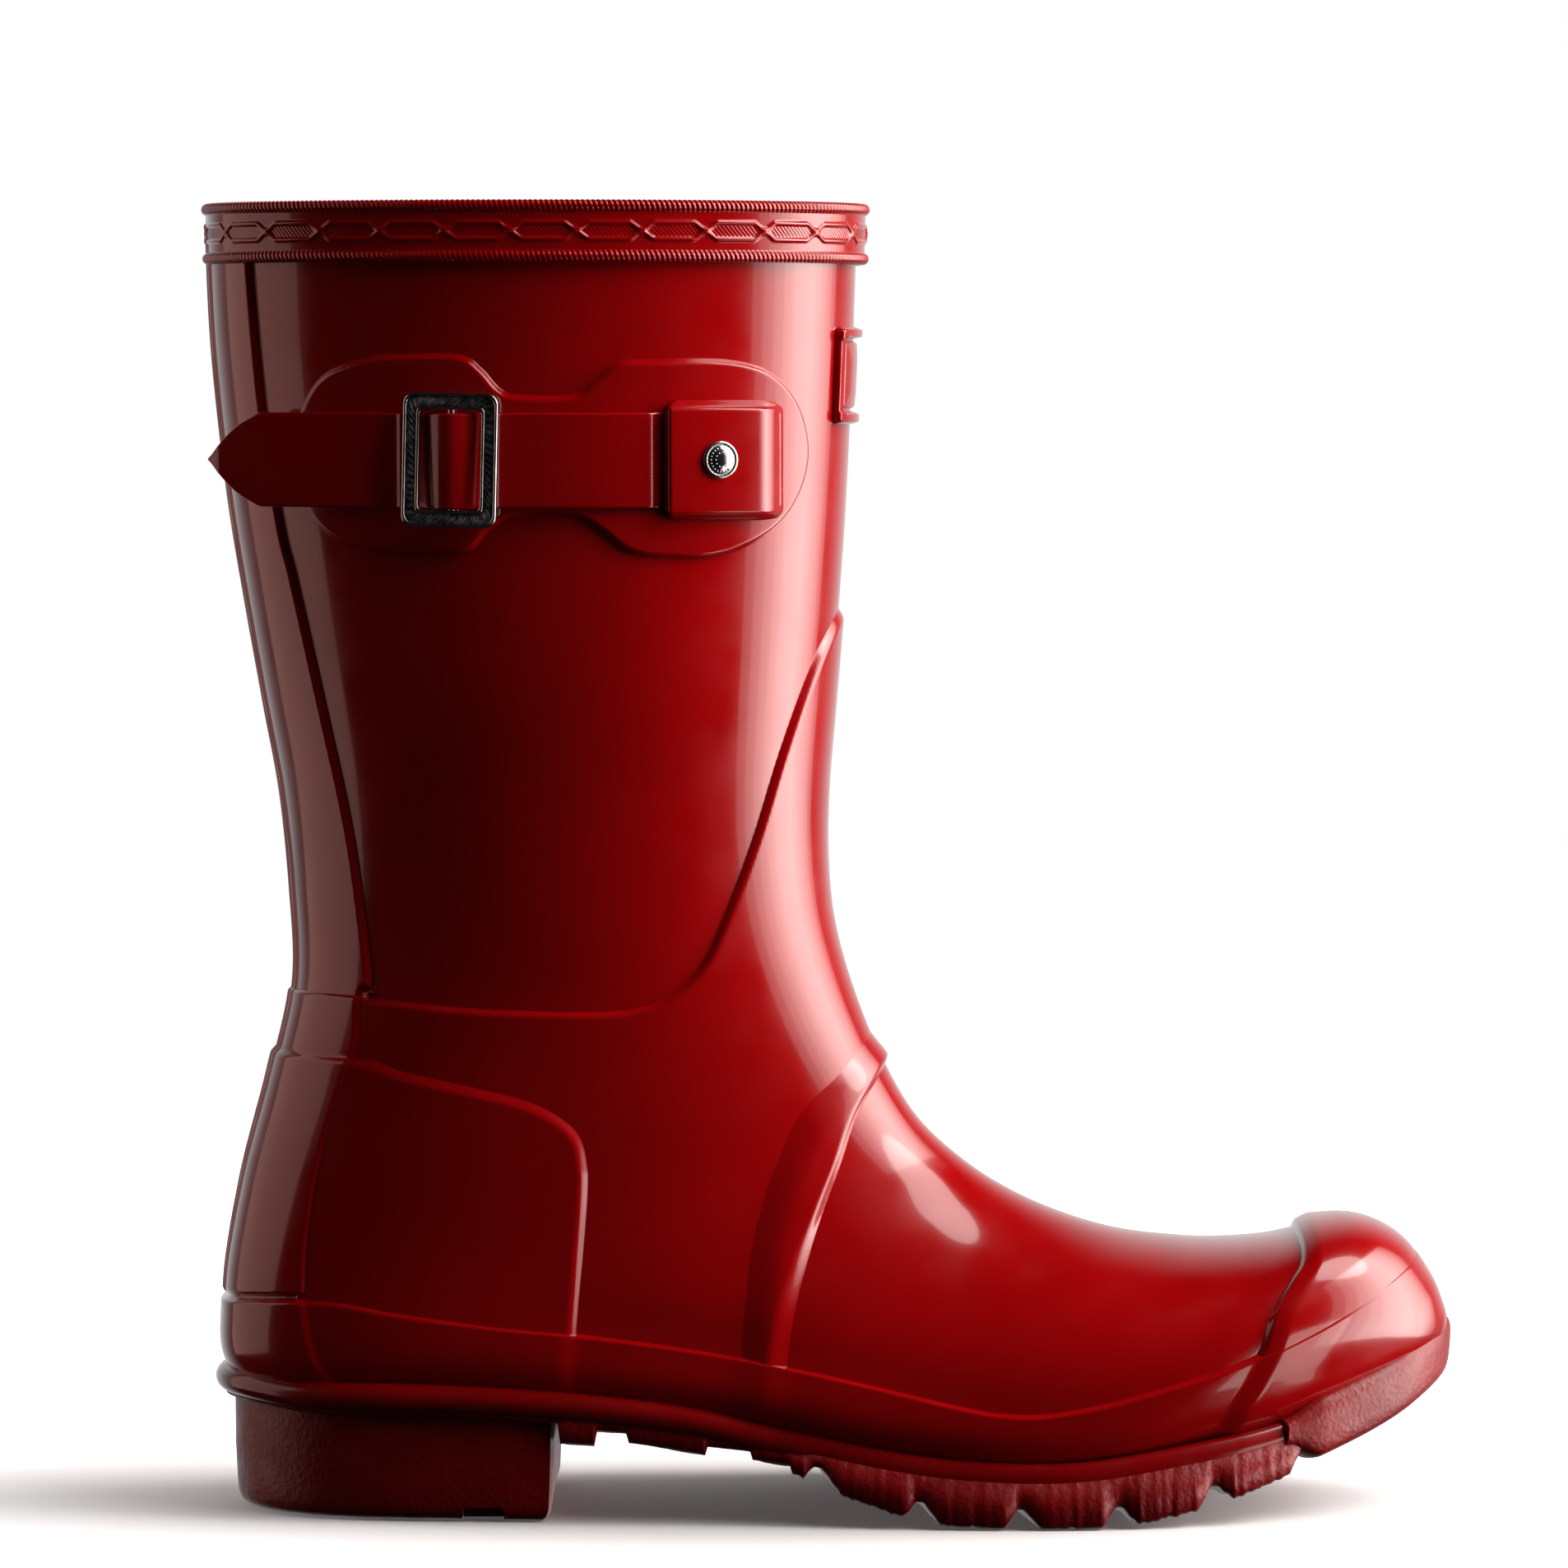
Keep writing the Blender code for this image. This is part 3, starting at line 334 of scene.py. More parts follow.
def shell(name, grid, keep, outer, inner):
    """Closed shell over the kept part of a grid, between an inner and an outer height in mm."""
    n, m = keep.shape
    span = m if grid.closed else m - 1
    after = (np.arange(span) + 1) % m
    cell = keep[:-1, :span] & keep[1:, :span] & keep[:-1][:, after] & keep[1:][:, after]
    j, k = np.nonzero(cell)
    a, b = j * m + k, (j + 1) * m + k
    c, d = (j + 1) * m + after[k], j * m + after[k]
    under = n * m
    faces = [np.stack([a, b, c, d], 1), np.stack([a, d, c, b], 1) + under]
    wide = np.pad(cell, 1)
    if grid.closed:
        wide[1:-1, 0], wide[1:-1, -1] = cell[:, -1], cell[:, 0]
    sides = ((wide[:-2, 1:-1], a, d), (wide[2:, 1:-1], c, b),
             (wide[1:-1, :-2], b, a), (wide[1:-1, 2:], d, c))
    for neighbour, p, q in sides:
        edge = ~neighbour[j, k]
        p, q = p[edge], q[edge]
        faces.append(np.stack([p, q, q + under, p + under], 1))
    height = np.stack([np.broadcast_to(outer, (n, m)), np.broadcast_to(inner, (n, m))])
    points = grid.points[None] + grid.out[None] * height[..., None]
    return mesh_object(name, points, np.concatenate(faces))


def outward(obj):
    """Turn the faces of a closed mesh outward."""
    bm = bmesh.new()
    bm.from_mesh(obj.data)
    bmesh.ops.recalc_face_normals(bm, faces=bm.faces)
    if bm.calc_volume(signed=True) < 0:
        bmesh.ops.reverse_faces(bm, faces=bm.faces)
    bm.to_mesh(obj.data)
    bm.free()
    return obj


def loft(name, rings, closed=False):
    """Closed mesh through rings of points: a tube with capped ends, or a ring if it is closed."""
    rings = np.asarray(rings, float)
    n, m = rings.shape[:2]
    rows = np.arange(n if closed else n - 1)
    j, k = (g.ravel() for g in np.meshgrid(rows, np.arange(m), indexing="ij"))
    j1, k1 = (j + 1) % n, (k + 1) % m
    quads = np.stack([j * m + k, j * m + k1, j1 * m + k1, j1 * m + k], 1)
    if closed:
        return outward(mesh_object(name, rings, quads))
    points = np.concatenate([rings.reshape(-1, 3), [rings[0].mean(0), rings[-1].mean(0)]])
    around = np.arange(m)
    beside = (around + 1) % m
    first = np.stack([beside, around, np.full(m, n * m)], 1)
    last = np.stack([around + (n - 1) * m, beside + (n - 1) * m, np.full(m, n * m + 1)], 1)
    return outward(mesh_object(name, points, quads, first, last))


def finish(obj, look, nodes=None, body="boot"):
    """Give a piece its look, let it ride on its body and stand for its CAD nodes."""
    material, slot = look
    obj.data.materials.append(material)
    if body is not None:
        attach(obj, body)
    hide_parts(*([obj.name.removesuffix("_look")] if nodes is None else nodes))
    return obj


# ---- materials


class Nodes:
    """A node tree with a short way to add nodes."""

    def __init__(self, owner):
        owner.use_nodes = True
        self.nodes, self.links = owner.node_tree.nodes, owner.node_tree.links

    def add(self, kind, source=None, into="Vector", **values):
        """New node with its inputs set, and one of them fed from a socket."""
        node = self.nodes.new("ShaderNode" + kind)
        for socket, value in values.items():
            node.inputs[socket.replace("_", " ")].default_value = value
        if source is not None:
            self.links.new(source, node.inputs[into])
        return node


class Material(Nodes):
    """A node material with the textures and reliefs that these finishes share."""

    def __init__(self, name, **sockets):
        self.material = bpy.data.materials.new(name)
        super().__init__(self.material)
        self.shader = self.nodes["Principled BSDF"]
        self.where = self.add("TexCoord").outputs["Object"]
        self.relief = None
        for socket, value in sockets.items():
            self.shader.inputs[socket.replace("_", " ")].default_value = value

    def noise(self, scale, detail=3.0, stretch=(1, 1, 1)):
        mapping = self.add("Mapping", self.where, Scale=stretch)
        return self.add("TexNoise", mapping.outputs["Vector"], Scale=scale, Detail=detail).outputs["Fac"]

    def cells(self, scale):
        return self.add("TexVoronoi", self.where, Scale=scale).outputs["Distance"]

    def waves(self, scale, direction, distortion):
        node = self.add("TexWave", self.where, Scale=scale, Distortion=distortion, Detail_Scale=1.5)
        node.bands_direction = direction
        return node.outputs["Fac"]

    def remap(self, source, low, high, to_low, to_high):
        node = self.add("MapRange", source, "Value", From_Min=low, From_Max=high, To_Min=to_low,
                        To_Max=to_high)
        return node.outputs["Result"]

    def colour(self, factor, dark, light):
        node = self.nodes.new("ShaderNodeMix")
        node.data_type = "RGBA"
        node.inputs["A"].default_value = (*dark, 1)
        node.inputs["B"].default_value = (*light, 1)
        self.links.new(factor, node.inputs["Factor"])
        self.links.new(node.outputs["Result"], self.shader.inputs["Base Color"])

    def clouds(self, dark, light, *noise):
        """Colour that drifts between two shades."""
        self.colour(self.remap(self.noise(*noise), 0.35, 0.65, 0, 1), dark, light)

    def roughness(self, source, low, high):
        self.links.new(self.remap(source, 0.3, 0.7, low, high), self.shader.inputs["Roughness"])

    def bump(self, source, depth, strength):
        """Add relief; depth is in metres, and each relief rides on the one before."""
        node = self.add("Bump", source, "Height", Distance=depth, Strength=strength)
        if self.relief:
            self.links.new(self.relief, node.inputs["Normal"])
        self.relief = node.outputs["Normal"]
        self.links.new(self.relief, self.shader.inputs["Normal"])


def gloss_rubber():
    """Lacquered red rubber: deep and wet-looking, with faint ripples, handling marks and fine dust."""
    m = Material("gloss_rubber", IOR=1.5, Coat_Weight=0.6, Coat_Roughness=0.045)
    m.clouds((0.37, 0.0006, 0.0016), (0.43, 0.0009, 0.0026), 26, 4)
    m.roughness(m.noise(75, 5), 0.13, 0.24)
    m.bump(m.noise(48, 2), 0.00022, 0.35)
    m.bump(m.noise(900, 4), 0.00001, 0.30)
    m.bump(m.remap(m.noise(260, 2, (1, 1, 0.12)), 0.62, 0.72, 0, 1), 0.00001, 0.25)
    return m.material


def matte_rubber():
    """Moulded red rubber of the sole, with a leathery grain and scuffed high spots."""
    m = Material("matte_rubber", Coat_Weight=0.12, Coat_Roughness=0.3)
    m.clouds((0.20, 0.0009, 0.0020), (0.28, 0.0016, 0.0035), 60, 5)
    m.roughness(m.noise(180, 5), 0.34, 0.52)
    m.bump(m.noise(640, 5), 0.00022, 0.75)
    m.bump(m.cells(900), 0.00012, 0.6)
    return m.material


def gloss_sole_painted_shade():
    """Rim of the sole: the upper's rubber, a little duller and finely rippled where it was trimmed. Its
    colour is painted darker than the upper's red, as painted shade on the rim.
    """
    m = Material("gloss_sole_painted_shade", Coat_Weight=0.5, Coat_Roughness=0.08)
    # Painted shade: the rim's red is set darker than gloss_rubber's, so the rim reads as shaded.
    m.clouds((0.21, 0.0006, 0.0014), (0.28, 0.0009, 0.0022), 40, 4)
    m.roughness(m.noise(110, 5), 0.16, 0.30)
    m.bump(m.noise(120, 3), 0.00025, 0.4)
    return m.material


def knit_lining():
    """Dark knitted cotton lining with columns of loops and loose fibre."""
    m = Material("knit_lining", Roughness=0.95, Sheen_Weight=0.35, Sheen_Roughness=0.5)
    loops = m.waves(190, "Z", 1.2)
    m.colour(loops, (0.028, 0.022, 0.024), (0.085, 0.070, 0.072))
    m.bump(loops, 0.0004, 0.7)
    m.bump(m.waves(240, "X", 1.0), 0.0003, 0.5)
    m.bump(m.noise(1500, 3), 0.0002, 0.4)
    return m.material


def insole_cloth():
    """Brushed red cover cloth of the insole, with a close weave and a darker, flattened nap in places."""
    m = Material("insole_cloth", Roughness=0.92, Sheen_Weight=0.4, Sheen_Roughness=0.45)
    m.clouds((0.16, 0.010, 0.012), (0.27, 0.022, 0.024), 55, 5)
    m.bump(m.waves(330, "X", 0.8), 0.00025, 0.6)
    m.bump(m.waves(330, "Y", 0.8), 0.00025, 0.6)
    m.bump(m.noise(1200, 4), 0.0002, 0.4)
    return m.material


def cell_foam():
    """Charcoal insole foam with open cells."""
    m = Material("cell_foam", Roughness=0.93)
    m.clouds((0.045, 0.045, 0.048), (0.11, 0.11, 0.115), 300, 4)
    m.bump(m.cells(900), 0.0004, 0.8)
    return m.material


def fibre_board():
    """Pressed cellulose board with flecks."""
    m = Material("fibre_board", Roughness=0.85)
    m.clouds((0.30, 0.20, 0.12), (0.46, 0.34, 0.22), 420, 5, (1, 3, 1))
    m.bump(m.noise(700, 5, (1, 3, 1)), 0.0002, 0.5)
    return m.material


def polished_steel():
    """Polished plated steel with hairline scratches and slight clouding."""
    m = Material("polished_steel", Metallic=1.0)
    m.clouds((0.60, 0.60, 0.61), (0.80, 0.80, 0.80), 160, 4)
    m.roughness(m.noise(500, 5), 0.12, 0.28)
    m.bump(m.noise(1100, 3, (1, 1, 0.08)), 0.00002, 0.5)
    m.bump(m.noise(240, 3), 0.00006, 0.35)
    return m.material


def gunmetal():
    """Darkened steel in the buckle's recess, worn lighter on its high spots."""
    m = Material("gunmetal", Metallic=0.7)
    m.colour(m.remap(m.noise(700, 5), 0.40, 0.66, 0, 1), (0.10, 0.105, 0.11), (0.42, 0.42, 0.43))
    m.roughness(m.noise(600, 4), 0.30, 0.5)
    m.bump(m.noise(900, 4), 0.00008, 0.5)
    return m.material


def brushed_steel():
    """Plain brushed spring steel of the hidden shank and burr."""
    m = Material("brushed_steel", Metallic=1.0)
    m.clouds((0.40, 0.40, 0.41), (0.58, 0.58, 0.58), 90, 4)
    m.roughness(m.noise(400, 4, (1, 12, 12)), 0.25, 0.45)
    m.bump(m.noise(900, 3, (0.05, 1, 1)), 0.00004, 0.5)
    return m.material


# Looks: a material, and a slot name.
GLOSS = (gloss_rubber(), "gloss_rubber")
# The rim's look carries painted shade in its darker colour.
RIM_PAINTED_SHADE = (gloss_sole_painted_shade(), "matte_rubber")
MATTE = (matte_rubber(), "matte_rubber")
KNIT = (knit_lining(), "lining_fabric")
CLOTH = (insole_cloth(), "insole_fabric")
FOAM = (cell_foam(), "insole_foam")
BOARD = (fibre_board(), "fibre_board")
STEEL = (polished_steel(), "steel")
BRUSHED = (brushed_steel(), "steel")

# ---- the upper's layers


def under(line):
    """Area below a line of the side view."""
    return np.concatenate([curve(line), [(BEYOND, line[-1][1]), (BEYOND, -60), (-BEYOND, -60)]])


def beside(line, far):
    """Area from a line of the side view out to x = far."""
    return np.concatenate([curve(line), [(far, line[-1][1]), (far, line[0][1])]])


def over_foxing(grid):
    """Distance above the foxing's top edge, negative below it."""
    return grid.inside(np.concatenate([curve(FOXING_TOP), [(BEYOND, 360), (-BEYOND, 360)]]))


def sole_top(x):
    line = curve(SOLE_TOP)
    return np.interp(x, line[:, 0], line[:, 1])


def clear_of_sole(grid):
    """Where the skin is above the sole's top line."""
    return grid.z - sole_top(grid.x) > 0.8


def toe_swell(grid):
    """How far the toe cap and the foxing under it bulge past the foot."""
    edge = grid.inside(beside(CAP_EDGE, BEYOND))
    return 1.3 * ease(edge / 5.0) * ease((grid.x - 60) / 20)


def band_swell(grid):
    """Soft ridge of the instep band, which still shows through the foxing."""
    rear = grid.inside(beside(BAND_REAR, BEYOND))
    front = grid.inside(beside(BAND_FRONT, -BEYOND))
    return ease(rear / 11.0) * ease(front / (3.0 + 4.5 * ease((80 - grid.z) / 45)))


def stay_ribs(grid):
    """Fine upright ribs either side of the back line."""
    aside = np.abs(grid.y)
    ribs = np.zeros_like(aside)
    for place in (2.6, 5.6, 8.8):
        ribs = np.maximum(ribs, 1 - np.abs(aside - place) / 1.0)
    return 0.55 * ease(ribs)


def make_upper():
    coarse = Grid(2.0, 192)
    everywhere = np.ones(coarse.x.shape, bool)
    finish(shell("upper_shell", coarse, everywhere, *SHELL), GLOSS)

    lining = finish(shell("textile_lining", coarse, coarse.z < LEG_TOP - 0.2, *LINING), KNIT)

    foot = Grid(0.75, AROUND, first=2.4)
    edge = foot.inside(under(FOOT_TOP))
    keep = (edge > -TUCK) & clear_of_sole(foot)
    rise = EDGE_ONE + (TOP_ONE - EDGE_ONE) * ease(edge / 1.4)
    finish(shell("foot_overlay", foot, keep, rise, BED_ONE), GLOSS)

    low_foot = Grid(0.6, 560, first=9.0)
    edge = low_foot.inside(under(FOXING_TOP))
    counter = beside(COUNTER_EDGE, -BEYOND)
    swell = toe_swell(low_foot) + 0.5 * band_swell(low_foot)
    swell += 0.8 * ease(low_foot.inside(beside(STAY_FOOT, -BEYOND)) / 1.6)
    swell += 0.5 * ease(low_foot.inside(counter) / 5.0)
    keep = (edge > -TUCK) & clear_of_sole(low_foot)
    rise = EDGE_TWO + (TOP_TWO - EDGE_TWO) * ease(edge / 1.3)
    finish(shell("foxing_strip", low_foot, keep, rise + swell, BED_TWO), GLOSS)

    for name, side in (("heel_counter_lateral", (0.52, 0.80)), ("heel_counter_medial", (0.20, 0.48))):
        grid = Grid(0.5, 220, first=6.6, last=14.0, side=side)
        edge = grid.inside(counter)
        keep = (edge > -TUCK) & clear_of_sole(grid) & (over_foxing(grid) > -FOXING_LAP) & (grid.x > -122)
        rise = EDGE_TWO + (TOP_TWO - 0.3 - EDGE_TWO) * ease(edge / 3.6)
        finish(shell(name, grid, keep, rise, BED_TWO), GLOSS)

    instep = Grid(0.7, AROUND, first=7.0, last=17.0)
    edge = instep.inside(np.concatenate([curve(BAND_REAR), curve(BAND_FRONT)[::-1]]))
    keep = (edge > -0.5) & (over_foxing(instep) > -FOXING_LAP)
    finish(shell("instep_band", instep, keep, 0.9 + 2.3 * band_swell(instep), 0.4), GLOSS)

    toe = Grid(0.55, 420, first=16.0)
    edge = toe.inside(beside(CAP_EDGE, BEYOND))
    keep = (edge > -TUCK) & (over_foxing(toe) > -FOXING_LAP)
    rise = 0.9 + (TOP_TWO - 1.05) * ease(edge / 1.8) + toe_swell(toe)
    finish(shell("toe_cap", toe, keep, rise, BED_TWO), GLOSS)


def make_back_stay():
    grid = Grid(0.6, 360, first=0.3, last=11.6, side=(0.33, 0.67))
    edge = grid.inside(beside(STAY_EDGE, -BEYOND))
    ribs = stay_ribs(grid)
    keep = (edge > -TUCK) & (grid.z > STAY_SPLIT - 3)
    rise = EDGE_ONE + 2.0 * ease(edge / 1.3) + ribs * ease(edge / 4)
    finish(shell("back_stay_upper", grid, keep, rise, BED_ONE), GLOSS)

    keep = (edge > -TUCK) & (grid.z < STAY_SPLIT + 1.5) & (over_foxing(grid) > -FOXING_LAP)
    top = ease((STAY_SPLIT + 0.8 - grid.z) / 1.6)
    step = ease((105.5 - grid.z) / 2.0)
    rise = EDGE_TWO + (0.9 + 0.9 * step) * ease(edge / 1.5) * top + 0.5 * top
    rise = rise + 0.8 * ribs * ease(edge / 4) * top
    rise = TOP_ONE + (rise - TOP_ONE) * ease((over_foxing(grid) + 0.4) / 1.6)
    finish(shell("back_stay_lower", grid, keep, rise, BED_TWO), GLOSS)


# ---- the rim binding

BINDING_AROUND = 2000
LINKS = 27
ROPE_PITCH = 1.15


def leg_ring(z, shares):
    """Level section of the leg at height z with its outward directions, both (count, 3)."""
    place = np.interp(-min(z, LEG_TOP), -SECTIONS[:5, 1], np.arange(5))
    rows = section_rows(np.array([place]))
    points = skin(even_turns(rows, shares), rows[:, None, :])[0]
    points[:, 2] = z
    run = np.roll(points, -1, 0) - np.roll(points, 1, 0)
    out = np.stack([run[:, 1], -run[:, 0], np.zeros(len(run))], 1)
    return points, out / np.linalg.norm(out, axis=1, keepdims=True)


def arc(centre, radius, start, end, count):
    """Points of an arc as (offset, z, turn)."""
    turns = np.radians(np.linspace(start, end, count))
    return [(centre[0] + radius * math.cos(t), centre[1] + radius * math.sin(t), t) for t in turns]


def make_binding():
    """Rolled band with a twisted cord along each edge and a moulded chain between them."""
    shares = np.arange(BINDING_AROUND) / BINDING_AROUND
    top_cord, low_cord = (1.55, 298.55), (1.55, 287.25)
    lip = [(-2.6, 293.0, None), (-2.7, 297.6, None), (-2.4, 298.9, None), (-1.6, 299.6, None),
           (-0.4, 299.8, None)]
    face = [(1.9, z, "face") for z in np.linspace(297.2, 288.6, 44)]
    foot = [(0.2, BINDING_LOW + 0.1, None), (-0.5, BINDING_LOW + 0.6, None)]
    profile = lip + arc(top_cord, 1.25, 128, -50, 13) + face + arc(low_cord, 1.25, 50, -128, 13) + foot
    base, out = leg_ring(292.0, shares)
    length = np.linalg.norm(np.diff(base, axis=0, append=base[:1]), axis=1)
    run = np.concatenate([[0], np.cumsum(length)[:-1]])
    girth = length.sum()
    link = (run / girth * LINKS) % 1.0 - 0.5
    pitch = girth / LINKS
    twists = round(girth / ROPE_PITCH)
    rings = []
    for offset, z, kind in profile:
        points, out = leg_ring(z, shares)
        if kind == "face":
            level = z - 292.9
            reach = 1.85 - 1.45 * ease((np.abs(link) * pitch - 4.3) / 2.8)
            line = 1 - np.abs(np.abs(level) - reach) / 0.85
            knot = 1 - np.hypot(level / 1.0, (np.abs(link) - 0.5) * pitch / 2.2)
            ribbing = 0.05 * np.sin(TAU * (run / 1.0 + level / 1.1)) * (np.abs(level) < reach - 0.6)
            offset = offset + 0.5 * ease(line) + 0.25 * ease(knot) + ribbing
            points = points + out * np.asarray(offset)[:, None]
        elif kind is None:
            points = points + out * offset
        else:
            centre = top_cord if z > 293 else low_cord
            phase = run / girth * twists + kind / TAU * 2.2
            swell = 0.24 * (np.abs(np.sin(math.pi * phase)) - 0.62)
            points = points + out * (offset + swell * math.cos(kind))[:, None]
            points[:, 2] = z + swell * math.sin(kind)
        rings.append(points)
    finish(loft("top_binding", rings, closed=True), GLOSS)


# ---- the sole

PLATE = 5.8
TREAD_LOW = (
    (-9, 11.5), (4, 6), (20, 1.2), (34, 0), (60, 0), (75, 1.8), (91, 6), (102, 10), (114, 16), (126, 22),
    (134, 27), (150, 38)
)
ARCH_LOW = (
    (-63, 17.6), (-54.7, 17.2), (-54.7, 20.5), (-47.3, 20), (-47.3, 17.9), (-29.5, 15), (-29.5, 17),
    (-19, 16), (-19, 14.2), (-10, 13.2)
)
LUG_PITCH = 22.4
LUG_LENGTH = 14.2
LUG_START = -3.0
LUG_COUNT = 6
HEEL_BREAST = -64.4
# Levels of the heel from its seat down, and how far each is drawn in.
HEEL_STEPS = (
    (None, 0.0), (14.0, 0.1), (6.0, 0.5), (3.2, 0.7), (2.0, 1.0), (1.0, 1.6), (0.3, 2.6), (0.0, 3.8)
)
# Start, end and height of the notch across the heel, and where its web begins either side.
NOTCH = (-84.8, -75.4, 3.0)
NOTCH_WEB = 29.0
BUMPER_START = 101.0


def plan_loop(count):
    """The foot's outline from above, evenly spaced, with its outward directions."""
    points = even_loop(curve(PLAN, closed=True, steps=16), count)
    ahead = np.roll(points, -3, 0) - np.roll(points, 3, 0)
    out = np.stack([ahead[:, 1], -ahead[:, 0]], 1)
    return points, out / np.linalg.norm(out, axis=1, keepdims=True)


def plan_sides(margin):
    """Outer and inner edge of the grown foot outline as lines (x, y) with x rising."""
    points, out = plan_loop(900)
    grown = points + out * margin
    first, last = np.argmin(grown[:, 0]), np.argmax(grown[:, 0])
    grown = np.roll(grown, -first, 0)
    last = (last - first) % len(grown)
    outer, inner = grown[:last + 1], np.concatenate([grown[last:], grown[:1]])[::-1]
    return outer, inner


def make_sole():
    points, out = plan_loop(900)
    rim = ((-1.5, 1.6), (1.6, 1.5), (2.9, 1.0), (3.9, 0.1), (4.5, -1.1), (4.6, -2.3), (4.3, -3.5),
           (3.7, -4.3), (2.8, -4.7), (-1.5, -4.9))
    reach = 1 - 0.36 * ease((points[:, 0] + 35) / 40) + 0.16 * ease((-122 - points[:, 0]) / 14)
    rings = [np.stack([*(points + out * (offset * reach)[:, None]).T, sole_top(points[:, 0]) + rise], 1)
             for offset, rise in curve(rim, steps=3)]
    finish(loft("outsole_rim", rings, closed=True), RIM_PAINTED_SHADE, ["outsole"])

    outer_line, inner_line = plan_sides(3.2)
    sections = []
    for x in np.concatenate([[-140.6, -140.0, -139], np.arange(-137.5, 138, 0.6), [138.8, 139.6, 140.2]]):
        wave = 0.10 * math.sin(1.7 * x) * math.sin(0.43 * x)
        outer = np.interp(x, outer_line[:, 0], outer_line[:, 1]) - wave
        inner = np.interp(x, inner_line[:, 0], inner_line[:, 1]) + wave
        sections.append(tread_section(x, outer, inner))
    finish(loft("outsole_tread", sections), MATTE, ["outsole"])
    make_heel()
    make_bumper()


def tread_section(x, outer, inner):
    """Cross-section of the sole's body at x, from its top round by the outer side."""
    across = np.linspace(0, 1, 66)
    y = outer + (inner - outer) * across
    plate = sole_top(x) - PLATE
    middle = (outer + inner) / 2
    aside = np.abs(y - middle)
    if x < ARCH_LOW[0][0]:
        low = np.full_like(y, plate)
    elif x < -10:
        line = np.array(ARCH_LOW)
        rib = 0.5 * ease(1 - np.abs((aside % 5.0) - 2.5) / 1.0)
        low = np.interp(x, line[:, 0], line[:, 1]) - rib + 0.6 * ease((aside - 14) / 10)
    else:
        line = curve(TREAD_LOW)
        bottom = np.interp(x, line[:, 0], line[:, 1])
        place = (x + 3.0 - 0.16 * aside - LUG_START) % LUG_PITCH
        gap = np.clip(np.minimum((place - LUG_LENGTH) / 2.8, (LUG_PITCH - place) / 4.0), 0, 1)
        gap = gap * (x < LUG_START + LUG_COUNT * LUG_PITCH)
        groove = ease((3.6 - aside) / 1.2)
        sipe = 0.5 * ease(1 - np.abs(place - LUG_LENGTH / 2) / 0.9)
        ripple = 0.16 * math.sin(2.9 * x) + 0.12 * math.sin(1.27 * x + 1.0)
        low = bottom + np.maximum(np.maximum(4.4 * gap, 2.6 * groove), sipe) + ripple * (bottom > 0.3)
    corner = 0.9 * ease(1 - np.minimum(y - outer, inner - y) / 1.2)
    low = np.minimum(low + corner, plate + 0.5)
    top = sole_top(x) - 2.6
    return [(x, outer, top)] + [(x, b, c) for b, c in zip(y, low)] + [(x, inner, top)]


def make_heel():
    """Block heel with a rounded foot edge and a small notch cut into each side of its tread."""
    points, out = plan_loop(1400)
    grown = points + out * 0.9
    behind = grown[grown[:, 0] < HEEL_BREAST]
    turn = np.arctan2(behind[:, 1], behind[:, 0] + 95)
    behind = behind[np.argsort(-np.where(turn > 0, turn, turn + TAU))]
    side = behind[[0, -1], 1]
    breast = np.stack([np.full(24, HEEL_BREAST + 0.4), np.linspace(side[1], side[0], 26)[1:-1]], 1)
    loop = np.concatenate([behind, breast])
    centre = np.array((-100.0, 0.5))
    rings = []
    for level, inset in HEEL_STEPS:
        direction = loop - centre
        at = loop - direction / np.linalg.norm(direction, axis=1, keepdims=True) * inset
        z = sole_top(at[:, 0]) - PLATE + 1.5 if level is None else np.full(len(at), level)
        rings.append(np.stack([at[:, 0], at[:, 1], z], 1))
    heel = loft("heel_block", rings)
    cutters = [loft("heel_notch", notch_rings(*ends))
               for ends in ((-60, -NOTCH_WEB), (NOTCH_WEB, 60))]
    for cutter in cutters:
        cut = heel.modifiers.new("notch", "BOOLEAN")
        cut.object = cutter
        cut.operation = "DIFFERENCE"
        cut.solver = "EXACT"
    bpy.context.view_layer.update()
    graph = bpy.context.evaluated_depsgraph_get()
    mesh = bpy.data.meshes.new_from_object(heel.evaluated_get(graph))
    heel.modifiers.clear()
    heel.data = mesh
    heel.data.materials.clear()
    heel.data.set_sharp_from_angle(angle=math.radians(38))
    for cutter in cutters:
        bpy.data.objects.remove(cutter)
    finish(heel, MATTE)


def notch_rings(near, far):
    """Bar that cuts the heel's notch from one place across to another, with rounded upper corners."""
    start, end, height = NOTCH
    shape = [(start, -2), (start, height - 1)]
    shape += [(start + 1 - math.cos(a), height - 1 + math.sin(a)) for a in np.radians((30, 60, 90))]
    shape += [(end - 1 + math.sin(a), height - 1 + math.cos(a)) for a in np.radians((0, 30, 60))]
    shape += [(end, height - 1), (end, -2)]
    return [[(x, y, z) for x, z in shape] for y in (near, far)]


def make_bumper():
    """Grained guard moulded over the front of the sole."""
    points, out = plan_loop(1400)
    front = points[:, 0] > BUMPER_START
    first = np.argmax(front & ~np.roll(front, 1))
    points, out = (np.roll(g, -first, 0)[:front.sum()] for g in (points, out))
    fade = ease((points[:, 0] - BUMPER_START) / 9.0)
    profile = curve(((-1.5, 4.6), (1.8, 4.4), (3.6, 3.5), (4.8, 1.9), (5.3, -0.4), (5.2, -3.6), (4.8, -7.2),
                     (3.9, -9.2), (1.8, -10.0), (-1.5, -10.0)), steps=4)
    rings = []
    for offset, rise in profile:
        at = points + out * (offset - 1.2 * (1 - fade))[:, None]
        lift = rise * (0.45 + 0.55 * fade)
        rings.append(np.stack([at[:, 0], at[:, 1], sole_top(at[:, 0]) + lift], 1))
    rings = np.array(rings).transpose(1, 0, 2)
    finish(loft("toe_bumper", rings), MATTE)


# ---- strap and buckle

